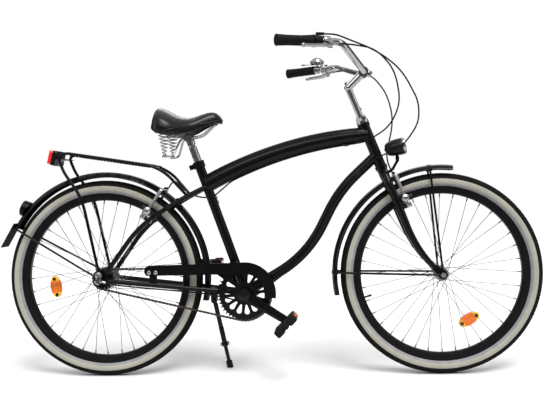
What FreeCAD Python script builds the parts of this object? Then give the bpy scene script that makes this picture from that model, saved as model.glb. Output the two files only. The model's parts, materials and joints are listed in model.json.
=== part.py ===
import FreeCAD, Part
import math
import os

Vector = FreeCAD.Vector

# Beach cruiser bicycle in millimetres. It is drawn upright, with X forward from the
# rear axle, Y to the left and Z up from the ground, and leans onto its kickstand last.

# Stance and fits
wheelbase = 1124.0
lean_degrees = 4.0
running_clearance = 0.05
running_gap = 0.4

# Wheels
tyre_section = 43.0
tyre_half_width = 25.0
tyre_wall = 3.0
tread_depth = 9.0
tread_half_width = 19.0
rim_outer_radius = 288.0
rim_depth = 25.0
rim_half_width = 16.5
rim_wall = 3.0
spokes_per_wheel = 36
spoke_radius = 1.0
nipple_radius = 2.2
nipple_length = 14.0
spoke_cross_degrees = 60.0
spoke_sink = 1.5
axle_radius = 5.0
hub_flange_thickness = 3.0
front_hub_flange_radius = 22.0
front_hub_body_radius = 13.0
front_hub_flange_offset = 32.0
front_hub_half_width = 50.0
rear_hub_flange_radius = 37.0
rear_hub_body_radius = 30.0
rear_hub_flange_offset = 28.0
rear_hub_half_width = 60.0
hub_end_length = 5.5
rear_hub_left_end = 44.0
cone_radius = 8.0
nut_across_corners = 18.0
nut_height = 9.0
axle_end_length = 4.0
gear_box_radius = 12.0
gear_box_length = 30.0
valve_length = 24.0
valve_radius = 3.0
rear_valve_degrees = 98.0
front_valve_degrees = 197.0
reflector_length = 74.0
reflector_height = 36.0
rear_reflector_half_depth = 8.0
front_reflector_half_depth = 9.1
reflector_orbit = 178.0
rear_reflector_degrees = 189.0
front_reflector_degrees = -60.0

# Steering head and fork
head_angle = 68.6
fork_offset = 47.0
fork_crown_room = 59.0
crown_half_width = 52.5
blade_radius = 13.0
blade_tip_radius = 8.5
blade_shoulder_drop = 34.0
steerer_radius = 12.7
steerer_bore_radius = 11.1
dropout_thickness = 5.0
dropout_radius = 15.0
head_tube_length = 140.0
head_tube_radius = 18.0
head_tube_wall = 2.2
lower_cup_height = 14.0
upper_cup_height = 12.0
cup_radius = 20.5
crown_race_height = 3.0
locknut_height = 26.0
locknut_radius = 17.5

# Frame
chainring_teeth = 44
sprocket_teeth = 16
chain_pitch = 12.7
chain_links = 106
bottom_bracket_drop = 54.0
bottom_bracket_radius = 20.0
bottom_bracket_half_width = 35.0
seat_tube_lean = 19.2
seat_tube_length = 462.0
seat_tube_radius = 15.9
seat_post_radius = 13.6
frame_wall = 1.8
top_tube_radius = 22.5
top_tube_crown_height = 124.0
top_tube_seat_drop = 84.0
top_tube_rise = 31.0
down_tube_radius = 17.5
down_tube_crown_height = 52.0
down_tube_upper_room = 73.0
down_tube_upper_degrees = 139.6
down_tube_lower_room = 85.0
down_tube_lower_degrees = 171.3
seat_stay_radius = 8.0
seat_stay_upper_side = 43.0
seat_stay_upper_degrees = 45.0
seat_stay_lower_side = 54.0
seat_stay_lower_degrees = 53.7
seat_stay_lower_drop = 36.0
chain_stay_radius = 8.0
chain_stay_side = 43.0
chain_stay_degrees = -6.6
chain_stay_drop = 11.7
rear_dropout_radius = 19.0
stay_wall = 1.6
bridge_radius = 6.0
seat_bridge_degrees = 45.5
chain_bridge_degrees = -6.5
collar_height = 22.0
collar_wall = 3.6
collar_ear_length = 14.0

# Brakes
brake_pad_drop = 11.0
brake_stud_drop = 25.0
brake_stud_radius = 4.0
brake_stud_side = 51.0
brake_arm_length = 104.0
brake_arm_radius = 8.0
brake_arm_tip_radius = 6.0
brake_arm_thickness = 9.0
brake_pad_gap = 2.0
brake_pad_length = 55.0
brake_pad_height = 10.0
brake_pad_thickness = 11.0
front_brake_ahead = 30.0
rear_brake_degrees = 55.0
rear_stud_length = 30.0

# Drive
chain_line = 48.0
chainring_thickness = 2.6
chainring_window_count = 14
roller_radius = 3.8
roller_room = 0.45
roller_width = 3.2
link_plate_thickness = 1.0
link_plate_half_height = 4.2
link_plate_gap = 0.12
tooth_height = 3.0
spindle_radius = 8.5
crank_length = 165.0
crank_degrees = -32.0
crank_boss_radius = 17.0
crank_end_radius = 12.5
crank_thickness = 14.0
crank_inner_face = 69.5
chainring_spigot_radius = 16.0
sprocket_boss_radius = 20.0
pedal_length = 84.0
pedal_width = 92.0
pedal_thickness = 26.0
pedal_axle_radius = 6.0
pedal_axle_gap = 8.0
right_pedal_tilt = 45.0
left_pedal_tilt = 3.0

# Chain guard
guard_side = 57.0
guard_thickness = 1.5
guard_nose_radius = 104.0
guard_band = 38.0
guard_nose_degrees = -9.0
guard_rear_end = 143.0
guard_rear_rise = 43.0
guard_rear_band = 33.0
guard_flange_depth = 12.0
guard_clip_place = 172.0
guard_clip_width = 26.0
guard_clip_thickness = 2.0
guard_strap_width = 22.0
guard_strap_thickness = 3.0

# Mudguards
fender_gap = 28.0
fender_depth = 17.0
fender_half_width = 29.0
fender_wall = 1.2
front_fender_lead = 7.0
front_fender_trail = 101.0
rear_fender_lead = 103.0
rear_fender_trail = 61.0
flap_trail = 72.5
flap_thickness = 2.5
flap_flare = 11.0
fender_stay_bend = 70.0
front_stay_degrees = (95.5, 178.5)
rear_stay_degrees = (150.0,)
fender_reflector_tilt = 20.0
fender_stay_radius = 2.0

# Rack and rear lights
rack_tube_radius = 5.0
rack_bar_radius = 3.5
rack_half_width = 56.0
rack_front_reach = 206.0
rack_front_gap = 12.0
rack_rear_reach = 112.0
rack_rear_gap = 65.0
rack_stay_share = 0.33
rack_bar_count = 7
tail_light_width = 92.0
tail_light_height = 50.0
tail_light_depth = 15.0
tail_lens_depth = 13.0
tail_light_tilt = 14.0
tail_light_corner = 7.0
tail_light_behind = 38.0
tail_light_drop = 17.0
tail_light_shelf = 30.0
fender_reflector_radius = 27.0
fender_reflector_depth = 17.0
fender_reflector_trail = 48.0

# Kickstand
stand_pivot_offset = Vector(17, -2, -45)
stand_foot_forward = 50.0
stand_splay_degrees = 9.0
stand_leg_radius = 6.5
stand_sleeve_radius = 8.0
stand_sleeve_share = 0.4
stand_pin_radius = 4.0
stand_head_radius = 11.0
stand_head_half_width = 7.0
stand_ear_thickness = 4.0
stand_ear_height = 34.0
stand_cap_length = 40.0
stand_cap_width = 30.0
stand_foot_radius = 11.0
stand_foot_height = 24.0

# Saddle
saddle_clamp_rise = 90.0
saddle_clamp_radius = 14.0
saddle_clamp_half_width = 27.0
seat_post_insert = 140.0
saddle_rail_radius = 3.5
saddle_rail_side = 21.0
saddle_nose_rise = 44.0
spring_wire_radius = 1.7
spring_turns = 6
spring_top_radius = 19.0
spring_bottom_radius = 6.0
spring_top_offset = Vector(-71, 70, 13)
spring_height = 72.0

# Handlebar and controls
bar_radius = 11.1
bar_wall = 1.8
bar_clamp_offset = Vector(50.4, 0, 49.3)
bar_clamp_half_width = 24.0
bar_straight_half = 40.0
bar_bend_offset = Vector(-75, 250, 58)
bar_end_offset = Vector(-263, 343, 53)
bar_bend_radius = 60.0
stem_radius = 11.0
stem_height = 140.0
stem_clamp_radius = 17.0
grip_radius = 15.5
left_grip_length = 110.0
right_grip_length = 86.0
grip_cap = 4.0
shifter_length = 30.0
shifter_housing_length = 25.0
shifter_radius = 19.0
shifter_spout_height = 22.0
shifter_spout_length = 22.0
control_gap = 0.5
left_lever_place = 150.0
right_lever_place = 158.0
lever_clamp_length = 20.0
lever_clamp_wall = 5.0
lever_pivot_reach = 32.0
lever_pin_radius = 2.5
lever_length = 95.0
lever_flare = 18.0
lever_thickness = 8.0
lever_droop = 25.0
bell_place = 121.0
bell_radius = 26.0
bell_height = 19.0
bell_stand = 22.5
bell_wall = 1.5
bell_post_radius = 4.0
cable_radius = 2.5
top_cable_side = 8.0
top_cable_start = 0.13
top_cable_end = 0.8
shift_stop_share = 0.508
cable_touch_gap = 0.6

# Headlight
light_tail_offset = Vector(7, 0, 64)
light_tilt = 12.0
light_length = 72.0
light_radius = 27.0
light_lens_depth = 6.0
light_wall = 2.0

# Derived places
tyre_radius = rim_outer_radius + tyre_section
rim_inner_radius = rim_outer_radius - rim_depth
fender_radius = tyre_radius + fender_gap
fork_length = tyre_radius + fork_crown_room
brake_pad_orbit = rim_outer_radius - brake_pad_drop
axle_height = tyre_radius
rear_axle = Vector(0, 0, axle_height)
front_axle = Vector(wheelbase, 0, axle_height)
across = Vector(0, 1, 0)
head_tilt = math.radians(head_angle)
head_up = Vector(-math.cos(head_tilt), 0, math.sin(head_tilt))
head_ahead = Vector(math.sin(head_tilt), 0, math.cos(head_tilt))
head_foot = front_axle - head_ahead * fork_offset
head_tube_bottom = fork_length + lower_cup_height
head_tube_top = head_tube_bottom + head_tube_length
chainring_pitch_radius = chain_pitch / (2 * math.sin(math.pi / chainring_teeth))
sprocket_pitch_radius = chain_pitch / (2 * math.sin(math.pi / sprocket_teeth))
seat_up = Vector(-math.sin(math.radians(seat_tube_lean)), 0, math.cos(math.radians(seat_tube_lean)))
top_tube_head_height = fork_length + top_tube_crown_height
down_tube_head_height = fork_length + down_tube_crown_height
top_tube_seat_height = seat_tube_length - top_tube_seat_drop
saddle_clamp_height = seat_tube_length + saddle_clamp_rise
guard_rear_top = axle_height + guard_rear_rise


def chain_link_count(distance):
    # Links on a chain round both sprockets at this centre distance
    rise = math.asin((chainring_pitch_radius - sprocket_pitch_radius) / distance)
    straight = math.sqrt(distance ** 2 - (chainring_pitch_radius - sprocket_pitch_radius) ** 2)
    wraps = chainring_teeth * (0.5 + rise / math.pi) + sprocket_teeth * (0.5 - rise / math.pi)
    return 2 * straight / chain_pitch + wraps


def chain_centre_distance():
    # The chain stay length that an even number of links closes on
    low = chainring_pitch_radius + sprocket_pitch_radius
    high = chain_links * chain_pitch
    for _ in range(60):
        middle = (low + high) / 2
        if chain_link_count(middle) < chain_links:
            low = middle
        else:
            high = middle
    return low


centre_distance = chain_centre_distance()
bottom_bracket = Vector(math.sqrt(centre_distance ** 2 - bottom_bracket_drop ** 2), 0,
                        axle_height - bottom_bracket_drop)


def head_at(along, ahead=0.0, side=0.0):
    return head_foot + head_up * along + head_ahead * ahead + across * side


def seat_at(along):
    return bottom_bracket + seat_up * along


def wheel_point(centre, radius, degrees, side=0.0):
    # Degrees count from straight ahead, upwards
    angle = math.radians(degrees)
    return centre + Vector(math.cos(angle) * radius, side, math.sin(angle) * radius)


saddle_clamp = seat_at(saddle_clamp_height)
spring_top = saddle_clamp + spring_top_offset
down_tube_upper_bend = wheel_point(front_axle, fender_radius + down_tube_upper_room,
                                   down_tube_upper_degrees)
down_tube_lower_bend = wheel_point(front_axle, fender_radius + down_tube_lower_room,
                                   down_tube_lower_degrees)
seat_stay_upper_bend = wheel_point(rear_axle, fender_radius + seat_stay_radius / 4, seat_stay_upper_degrees,
                                   seat_stay_upper_side)
seat_stay_lower_bend = wheel_point(rear_axle, brake_pad_orbit - brake_stud_drop - seat_stay_lower_drop,
                                   seat_stay_lower_degrees, seat_stay_lower_side)
chain_stay_waist = wheel_point(rear_axle, fender_radius - chain_stay_drop, chain_stay_degrees,
                               chain_stay_side)
stand_pivot = chain_stay_waist + stand_pivot_offset
rack_front = rear_axle + Vector(rack_front_reach, 0, fender_radius + rack_front_gap)
rack_rear = rear_axle + Vector(-rack_rear_reach, 0, fender_radius + rack_rear_gap)
tail_light_place = rack_rear - Vector(tail_light_behind, 0, tail_light_drop)
stem_knee = head_at(head_tube_top + stem_height)
bar_clamp = stem_knee + bar_clamp_offset
bar_bend = bar_clamp + bar_bend_offset
bar_end = bar_clamp + bar_end_offset
light_tail = head_at(fork_length) + light_tail_offset


def mirrored(point, side):
    # A point drawn on the left, moved to the side given as +1 left or -1 right
    return Vector(point.x, point.y * side, point.z)


def unit(vector):
    copy = Vector(vector)
    copy.normalize()
    return copy


def cylinder(start, end, radius, bore=0.0):
    axis = end - start
    solid = Part.makeCylinder(radius, axis.Length, start, axis)
    if bore > 0:
        solid = solid.cut(Part.makeCylinder(bore, axis.Length, start, axis))
    return solid


def cone(start, end, start_radius, end_radius):
    axis = end - start
    return Part.makeCone(start_radius, end_radius, axis.Length, start, axis)


def joined(solids):
    first = solids[0]
    if len(solids) == 1:
        return first
    fused = first.multiFuse(solids[1:])
    smooth = fused.removeSplitter()
    if smooth.isValid() and smooth.Volume > 0:
        return smooth
    return fused


def corner_arc(corner, before, after, length):
    # The arc that is tangent to both legs of a corner at the given distance from it
    half = before.getAngle(after) / 2
    radius = length * math.tan(half)
    inward = unit(before + after)
    middle = corner + inward * (length / math.cos(half) - radius)
    return Part.Arc(corner + before * length, middle, corner + after * length).toShape()


def bent_path(points, largest_radius=math.inf, share=0.45):
    # Straight runs joined by tangent arcs, as large as the share of the shorter run allows
    edges = []
    start = points[0]
    for index in range(1, len(points) - 1):
        corner = points[index]
        before = points[index - 1] - corner
        after = points[index + 1] - corner
        half = before.getAngle(after) / 2
        length = min(largest_radius / math.tan(half), share * min(before.Length, after.Length))
        arc = corner_arc(corner, unit(before), unit(after), length)
        edges.append(Part.LineSegment(start, corner + unit(before) * length).toShape())
        edges.append(arc)
        start = corner + unit(after) * length
    edges.append(Part.LineSegment(start, points[-1]).toShape())
    return Part.Wire(edges)


def outward_solid(shape):
    solid = Part.Solid(shape.Shells[0])
    if solid.Volume < 0:
        solid.reverse()
    return solid


def round_wire(centre, axis, radius):
    return Part.Wire(Part.Circle(centre, axis, radius).toShape())


def path_start(path):
    edge = path.OrderedEdges[0]
    return edge.valueAt(edge.FirstParameter), edge.tangentAt(edge.FirstParameter)


def path_end(path):
    edge = path.OrderedEdges[-1]
    return edge.valueAt(edge.LastParameter), edge.tangentAt(edge.LastParameter)


def pipe(path, radius, bore=0.0):
    place, heading = path_start(path)
    solid = outward_solid(path.makePipeShell([round_wire(place, heading, radius)], True, False))
    if bore > 0:
        hollow = path.makePipeShell([round_wire(place, heading, bore)], True, False)
        solid = solid.cut(outward_solid(hollow))
    return solid


def tapered_pipe(path, start_radius, end_radius):
    sweep = Part.BRepOffsetAPI.MakePipeShell(path)
    place, heading = path_start(path)
    sweep.add(round_wire(place, heading, start_radius))
    place, heading = path_end(path)
    sweep.add(round_wire(place, heading, end_radius))
    sweep.build()
    sweep.makeSolid()
    return outward_solid(sweep.shape())


def turned(profile, centre, axis=across, degrees=360.0):
    # A closed outline turned round an axis through the centre
    return outward_solid(Part.Face(Part.Wire(profile)).revolve(centre, axis, degrees))


def outline(points):
    return Part.makePolygon(points + [points[0]]).Edges


def plate(face, thickness, middle):
    # A flat face drawn in the plane of the wheels, made into a plate about the middle
    face.translate(Vector(0, middle - thickness / 2, 0))
    return face.extrude(across * thickness)


def link_face(first, first_radius, second, second_radius):
    # Two round ends and their common tangents, in the plane of the wheels
    span = second - first
    angle = math.atan2(span.z, span.x)
    spread = math.acos((first_radius - second_radius) / span.Length)

    def rim(centre, radius, turn):
        return centre + Vector(math.cos(turn) * radius, 0, math.sin(turn) * radius)

    first_high = rim(first, first_radius, angle + spread)
    first_low = rim(first, first_radius, angle - spread)
    second_high = rim(second, second_radius, angle + spread)
    second_low = rim(second, second_radius, angle - spread)
    edges = [Part.Arc(first_high, rim(first, first_radius, angle + math.pi), first_low).toShape(),
             Part.LineSegment(first_low, second_low).toShape(),
             Part.Arc(second_low, rim(second, second_radius, angle), second_high).toShape(),
             Part.LineSegment(second_high, first_high).toShape()]
    return Part.Face(Part.Wire(edges))


def placed(shape, origin, x_axis, y_axis):
    # A shape drawn about the origin, carried to a place with its X and Y along two directions
    z_axis = x_axis.cross(y_axis)
    rotation = FreeCAD.Rotation(x_axis, y_axis, z_axis, "ZXY")
    copy = shape.copy()
    copy.Placement = FreeCAD.Placement(origin, rotation).multiply(copy.Placement)
    return copy


def hexagon(centre, axis, radius):
    reference = Vector(0, 0, 1)
    if abs(unit(axis).z) > 0.9:
        reference = Vector(1, 0, 0)
    first = unit(axis.cross(reference))
    second = unit(axis.cross(first))
    corners = []
    for index in range(6):
        angle = math.radians(60 * index)
        corners.append(centre + first * (radius * math.cos(angle)) + second * (radius * math.sin(angle)))
    return Part.makePolygon(corners + [corners[0]])


def hex_nut(start, end, radius):
    return Part.Face(hexagon(start, end - start, radius)).extrude(end - start)


# Wheels


def tyre(centre):
    bead = rim_outer_radius - rim_half_width
    inside = rim_half_width - rim_wall - running_clearance
    widest = (rim_outer_radius + tyre_radius - tread_depth) / 2

    def at(side, radius):
        return centre + Vector(0, side, radius)

    shoulder = tyre_radius - tread_depth
    outer_left = Part.Arc(at(inside, rim_outer_radius), at(tyre_half_width, widest),
                          at(tread_half_width, shoulder))
    crown = Part.Arc(at(tread_half_width, shoulder), at(0, tyre_radius), at(-tread_half_width, shoulder))
    outer_right = Part.Arc(at(-tread_half_width, shoulder), at(-tyre_half_width, widest),
                           at(-inside, rim_outer_radius))
    hollow = Part.Arc(at(-inside + tyre_wall, rim_outer_radius), at(0, tyre_radius - 2 * tyre_wall),
                      at(inside - tyre_wall, rim_outer_radius))
    edges = [outer_left.toShape(), crown.toShape(), outer_right.toShape(),
             Part.LineSegment(at(-inside, rim_outer_radius), at(-inside, bead)).toShape(),
             Part.LineSegment(at(-inside, bead), at(-inside + tyre_wall, bead)).toShape(),
             Part.LineSegment(at(-inside + tyre_wall, bead),
                              at(-inside + tyre_wall, rim_outer_radius)).toShape(),
             hollow.toShape(),
             Part.LineSegment(at(inside - tyre_wall, rim_outer_radius),
                              at(inside - tyre_wall, bead)).toShape(),
             Part.LineSegment(at(inside - tyre_wall, bead), at(inside, bead)).toShape(),
             Part.LineSegment(at(inside, bead), at(inside, rim_outer_radius)).toShape()]
    return turned(edges, centre)


def rim(centre, valve_degrees):
    half = rim_half_width
    well = rim_inner_radius + rim_wall
    profile = [(half / 2, rim_inner_radius), (half - 1, rim_inner_radius + 5), (half, rim_outer_radius),
               (half - rim_wall, rim_outer_radius), (half - rim_wall, well + 4), (half / 2 - 1, well)]
    corners = [centre + Vector(0, side, radius) for side, radius in profile]
    corners += [centre + Vector(0, -side, radius) for side, radius in reversed(profile)]
    ring = turned(outline(corners), centre)
    inner = wheel_point(centre, rim_inner_radius - valve_length, valve_degrees)
    outer = wheel_point(centre, rim_inner_radius + rim_wall + 2, valve_degrees)
    ring = ring.cut(cylinder(inner, outer, valve_radius))
    return Part.makeCompound([ring, cylinder(inner, outer, valve_radius)])


def hub(centre, flange_radius, body_radius, right_offset, left_offset, right_end, left_end):
    half = hub_flange_thickness / 2
    neck = (axle_radius + body_radius) / 2 + 2
    profile = [(-right_end, axle_radius + running_clearance), (-right_end, neck),
               (-right_offset - half, neck), (-right_offset - half, flange_radius),
               (-right_offset + half, flange_radius), (-right_offset + half, body_radius),
               (left_offset - half, body_radius), (left_offset - half, flange_radius),
               (left_offset + half, flange_radius), (left_offset + half, neck),
               (left_end, neck), (left_end, axle_radius + running_clearance)]
    corners = [centre + Vector(0, side, radius) for side, radius in profile]
    return turned(outline(corners), centre)


def spoke(start, end):
    # A six-sided wire that widens into its nipple at the rim
    axis = unit(end - start)
    shoulder = end - axis * nipple_length
    sections = [hexagon(start, axis, spoke_radius), hexagon(shoulder, axis, spoke_radius),
                hexagon(shoulder + axis, axis, nipple_radius), hexagon(end, axis, nipple_radius)]
    return Part.makeLoft(sections, True, True)


def spokes(centre, flange_radius, offset):
    # Half the spokes leave each flange, alternately leading and trailing, outside and inside
    wires = []
    for index in range(spokes_per_wheel):
        side = 1 if index % 2 == 0 else -1
        lead = 1 if index % 4 < 2 else -1
        rim_degrees = 360.0 * index / spokes_per_wheel
        hub_degrees = rim_degrees + lead * spoke_cross_degrees
        reach = offset + lead * (hub_flange_thickness / 2 + spoke_radius - 0.3)
        start = wheel_point(centre, flange_radius - 3.5, hub_degrees, side * reach)
        end = wheel_point(centre, rim_inner_radius + spoke_sink, rim_degrees, side * 3.0)
        wires.append(spoke(start, end))
    return Part.makeCompound(wires)


def spoke_reflector(centre, degrees, half_depth):
    # An oval lens held between the two sets of spokes
    place = wheel_point(centre, reflector_orbit, degrees)
    radius = reflector_height / 2
    reach = reflector_length / 2 - radius
    along = Vector(-math.sin(math.radians(degrees)), 0, math.cos(math.radians(degrees)))
    face = link_face(place - along * reach, radius, place + along * reach, radius - 0.001)
    return plate(face, 2 * half_depth, 0)


def wheel_axle(centre, half_width, right_cone, left_cone):
    outside = half_width + dropout_thickness + 2 * fender_stay_radius
    end = outside + nut_height + axle_end_length
    solids = [cylinder(centre - across * end, centre + across * end, axle_radius),
              cylinder(centre - across * half_width, centre - across * right_cone, cone_radius),
              cylinder(centre + across * left_cone, centre + across * half_width, cone_radius),
              hex_nut(centre - across * outside, centre - across * (outside + nut_height),
                      nut_across_corners / 2),
              hex_nut(centre + across * outside, centre + across * (outside + nut_height),
                      nut_across_corners / 2)]
    return joined(solids)


def gear_box(side_start):
    # Round cover on the right axle end that turns the gear cable into the hub
    start = rear_axle - across * side_start
    end = start - across * gear_box_length
    shoulder = start - across * (gear_box_length * 0.7)
    barrel = joined([cylinder(start, shoulder, gear_box_radius),
                     cone(shoulder, end, gear_box_radius, gear_box_radius * 0.55)])
    spout = cylinder(start - across * 12, start - across * 12 + gear_spout(), cable_radius + 1.5)
    return joined([barrel, spout])


# Frame


def top_tube_path():
    start = head_at(top_tube_head_height)
    end = seat_at(top_tube_seat_height)
    chord = end - start
    lift = unit(Vector(chord.z, 0, -chord.x))
    middle = start + chord * 0.5 + lift * top_tube_rise
    return Part.Wire([Part.Arc(start, middle, end).toShape()])


def down_tube_path():
    points = [head_at(down_tube_head_height), down_tube_upper_bend, down_tube_lower_bend, bottom_bracket]
    return bent_path(points)


def head_tube_outer():
    return cylinder(head_at(head_tube_bottom), head_at(head_tube_top), head_tube_radius)


def head_tube_line():
    # The head tube's own cylinder, carried past both cups
    return cylinder(head_at(head_tube_bottom - cup_radius), head_at(head_tube_top + cup_radius),
                    head_tube_radius)


def seat_tube_outer():
    return cylinder(bottom_bracket, seat_at(seat_tube_length), seat_tube_radius)


def bottom_bracket_outer():
    side = across * bottom_bracket_half_width
    return cylinder(bottom_bracket - side, bottom_bracket + side, bottom_bracket_radius)


def largest(shape):
    return max(shape.Solids, key=lambda solid: solid.Volume)


def head_tube():
    tube = cylinder(head_at(head_tube_bottom), head_at(head_tube_top), head_tube_radius,
                    head_tube_radius - head_tube_wall)
    bore = steerer_radius + running_clearance
    lower = cylinder(head_at(fork_length + crown_race_height + running_gap), head_at(head_tube_bottom),
                     cup_radius, bore)
    upper = cylinder(head_at(head_tube_top), head_at(head_tube_top + upper_cup_height), cup_radius, bore)
    return Part.makeCompound([tube, lower, upper])


def top_tube():
    path = top_tube_path()
    tube = pipe(path, top_tube_radius, top_tube_radius - frame_wall)
    return largest(tube.cut(head_tube_line()).cut(seat_tube_outer()))


def down_tube():
    tube = pipe(down_tube_path(), down_tube_radius, down_tube_radius - frame_wall)
    tube = tube.cut(head_tube_outer()).cut(bottom_bracket_outer())
    return largest(tube.cut(seat_tube_outer()))


def seat_tube():
    bore = seat_post_radius + running_clearance
    shell = cylinder(bottom_bracket - across * bottom_bracket_half_width,
                     bottom_bracket + across * bottom_bracket_half_width, bottom_bracket_radius)
    threads = bottom_bracket_radius - 3.0
    tube = joined([cylinder(bottom_bracket, seat_at(seat_tube_length), seat_tube_radius), shell])
    tube = tube.cut(cylinder(seat_at(bottom_bracket_radius + 2), seat_at(seat_tube_length), bore))
    tube = tube.cut(cylinder(bottom_bracket - across * bottom_bracket_half_width,
                             bottom_bracket + across * bottom_bracket_half_width, threads))
    cups = []
    for side in (1, -1):
        inner = bottom_bracket + across * (side * (bottom_bracket_half_width - 15))
        face = bottom_bracket + across * (side * bottom_bracket_half_width)
        outer = bottom_bracket + across * (side * (bottom_bracket_half_width + 3))
        cup = joined([cylinder(inner, face, threads), cylinder(face, outer, threads + 1.5)])
        cups.append(cup.cut(cylinder(inner, outer, spindle_radius + running_clearance)))
    return Part.makeCompound([tube] + cups)


def seat_stay_end(side):
    # The stay meets the upper front corner of the dropout plate
    return Vector(16, side * (rear_hub_half_width + dropout_thickness / 2), axle_height + 22)


def seat_stay_path(side):
    joint = seat_at(top_tube_seat_height) + across * (side * (seat_tube_radius - 2))
    points = [joint, mirrored(seat_stay_upper_bend, side), mirrored(seat_stay_lower_bend, side),
              seat_stay_end(side)]
    return bent_path(points)


def rear_brake_axes():
    # Outwards from the axle, and the way the studs point
    angle = math.radians(rear_brake_degrees)
    outward = Vector(math.cos(angle), 0, math.sin(angle))
    return outward, Vector(-outward.z, 0, outward.x)


def rear_stud_point(side):
    outward, _ = rear_brake_axes()
    return rear_axle + outward * (brake_pad_orbit - brake_stud_drop) + across * (side * brake_stud_side)


def seat_stays():
    stays = []
    _, stud_way = rear_brake_axes()
    for side in (1, -1):
        stay = pipe(seat_stay_path(side), seat_stay_radius, seat_stay_radius - stay_wall)
        stay = stay.cut(seat_tube_outer()).cut(top_tube_keepout())
        stay = largest(stay.cut(rear_dropout(side)))
        middle = rear_stud_point(side)
        stud = cylinder(middle - stud_way * rear_stud_length,
                        middle + stud_way * (brake_arm_thickness / 2 + 2),
                        brake_stud_radius)
        boss = cylinder(middle - stud_way * rear_stud_length,
                        middle - stud_way * (brake_arm_thickness / 2 + running_gap),
                        brake_stud_radius + 3.5)
        stays.append(joined([stay, stud, boss]))
    reach = across * (seat_stay_upper_bend.y - seat_stay_radius)
    place = wheel_point(rear_axle, fender_radius + bridge_radius, seat_bridge_degrees)
    return joined(stays + [cylinder(place - reach, place + reach, bridge_radius)])


def top_tube_keepout():
    return pipe(top_tube_path(), top_tube_radius)


def chain_stay_path(side):
    start = Vector(bottom_bracket.x - 16, side * 24, bottom_bracket.z + 2)
    end = Vector(24, side * (rear_hub_half_width + dropout_thickness / 2), axle_height - 5)
    return bent_path([start, mirrored(chain_stay_waist, side), end])


def rear_dropout(side):
    middle = side * (rear_hub_half_width + dropout_thickness / 2)
    upper = Vector(16, 0, axle_height + 20)
    front = Vector(24, 0, axle_height - 5)
    hanger = link_face(Vector(0, 0, axle_height), rear_dropout_radius, upper, 10)
    web = link_face(Vector(0, 0, axle_height), rear_dropout_radius, front, 9)
    solid = joined([plate(hanger, dropout_thickness, middle), plate(web, dropout_thickness, middle)])
    hole = cylinder(rear_axle + across * (middle - dropout_thickness),
                    rear_axle + across * (middle + dropout_thickness),
                    axle_radius + running_clearance)
    return solid.cut(hole)


def chain_stays():
    stays = []
    for side in (1, -1):
        stay = pipe(chain_stay_path(side), chain_stay_radius, chain_stay_radius - stay_wall)
        stay = stay.cut(bottom_bracket_outer())
        stays.append(joined([largest(stay), rear_dropout(side)]))
    return joined(stays + [chain_stay_bridge()])


def chain_stay_bridge():
    reach = across * (chain_stay_waist.y - chain_stay_radius)
    place = wheel_point(rear_axle, fender_radius + bridge_radius, chain_bridge_degrees)
    return cylinder(place - reach, place + reach, bridge_radius)


def seat_clamp():
    bottom = seat_at(seat_tube_length - collar_height + 5)
    top = seat_at(seat_tube_length + 5)
    radius = seat_tube_radius + collar_wall
    ring = cylinder(bottom, top, radius)
    back = Vector(-seat_up.z, 0, seat_up.x)
    middle = (bottom + top) * 0.5
    ears = Part.makeBox(collar_ear_length + radius, 14, collar_height - 6)
    ears.translate(Vector(0, -7, -(collar_height - 6) / 2))
    ears = placed(ears, middle, back, across)
    ring = joined([ring, ears])
    slot = Part.makeBox(2 * radius, 3, collar_height * 2)
    slot.translate(Vector(0, -1.5, -collar_height))
    ring = ring.cut(placed(slot, middle, back, across))
    ring = ring.cut(cylinder(bottom, seat_at(seat_tube_length), seat_tube_radius))
    ring = ring.cut(cylinder(seat_at(seat_tube_length), top, seat_post_radius + running_clearance))
    bolt_place = middle + back * (radius + collar_ear_length * 0.45)
    bolt = joined([cylinder(bolt_place - across * 12, bolt_place + across * 12, 2.5),
                   cylinder(bolt_place - across * 12, bolt_place - across * 7, 5),
                   hex_nut(bolt_place + across * 7, bolt_place + across * 12, 5)])
    return Part.makeCompound([ring.cut(cylinder(bolt_place - across * 12, bolt_place + across * 12, 2.5)),
                              bolt])


# Saddle and post


def seat_post():
    bottom = seat_at(seat_tube_length - seat_post_insert)
    shoulder = seat_at(saddle_clamp_height - saddle_clamp_radius - 20)
    top = seat_at(saddle_clamp_height - saddle_clamp_radius)
    outer = joined([cylinder(bottom, shoulder, seat_post_radius),
                    cone(shoulder, shoulder + seat_up * 6, seat_post_radius, seat_post_radius - 2.5),
                    cylinder(shoulder + seat_up * 6, top, seat_post_radius - 2.5)])
    return outer.cut(cylinder(bottom, top - seat_up * 3, seat_post_radius - 4.2))


def saddle_rail(side):
    # From the nose, through the clamp, then down and out to the foot of the spring
    clamp = saddle_clamp
    foot = mirrored(spring_top, side) - Vector(0, 0, spring_height + saddle_rail_radius + 0.1)
    points = [Vector(clamp.x + 92, side * 7, clamp.z + saddle_nose_rise),
              Vector(clamp.x + 48, side * 17, clamp.z + 6),
              Vector(clamp.x + 20, side * saddle_rail_side, clamp.z),
              Vector(clamp.x - 22, side * saddle_rail_side, clamp.z),
              Vector(foot.x + 24, foot.y * 0.78, foot.z),
              foot - Vector(saddle_rail_radius * 2, 0, 0)]
    return pipe(bent_path(points), saddle_rail_radius)


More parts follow.
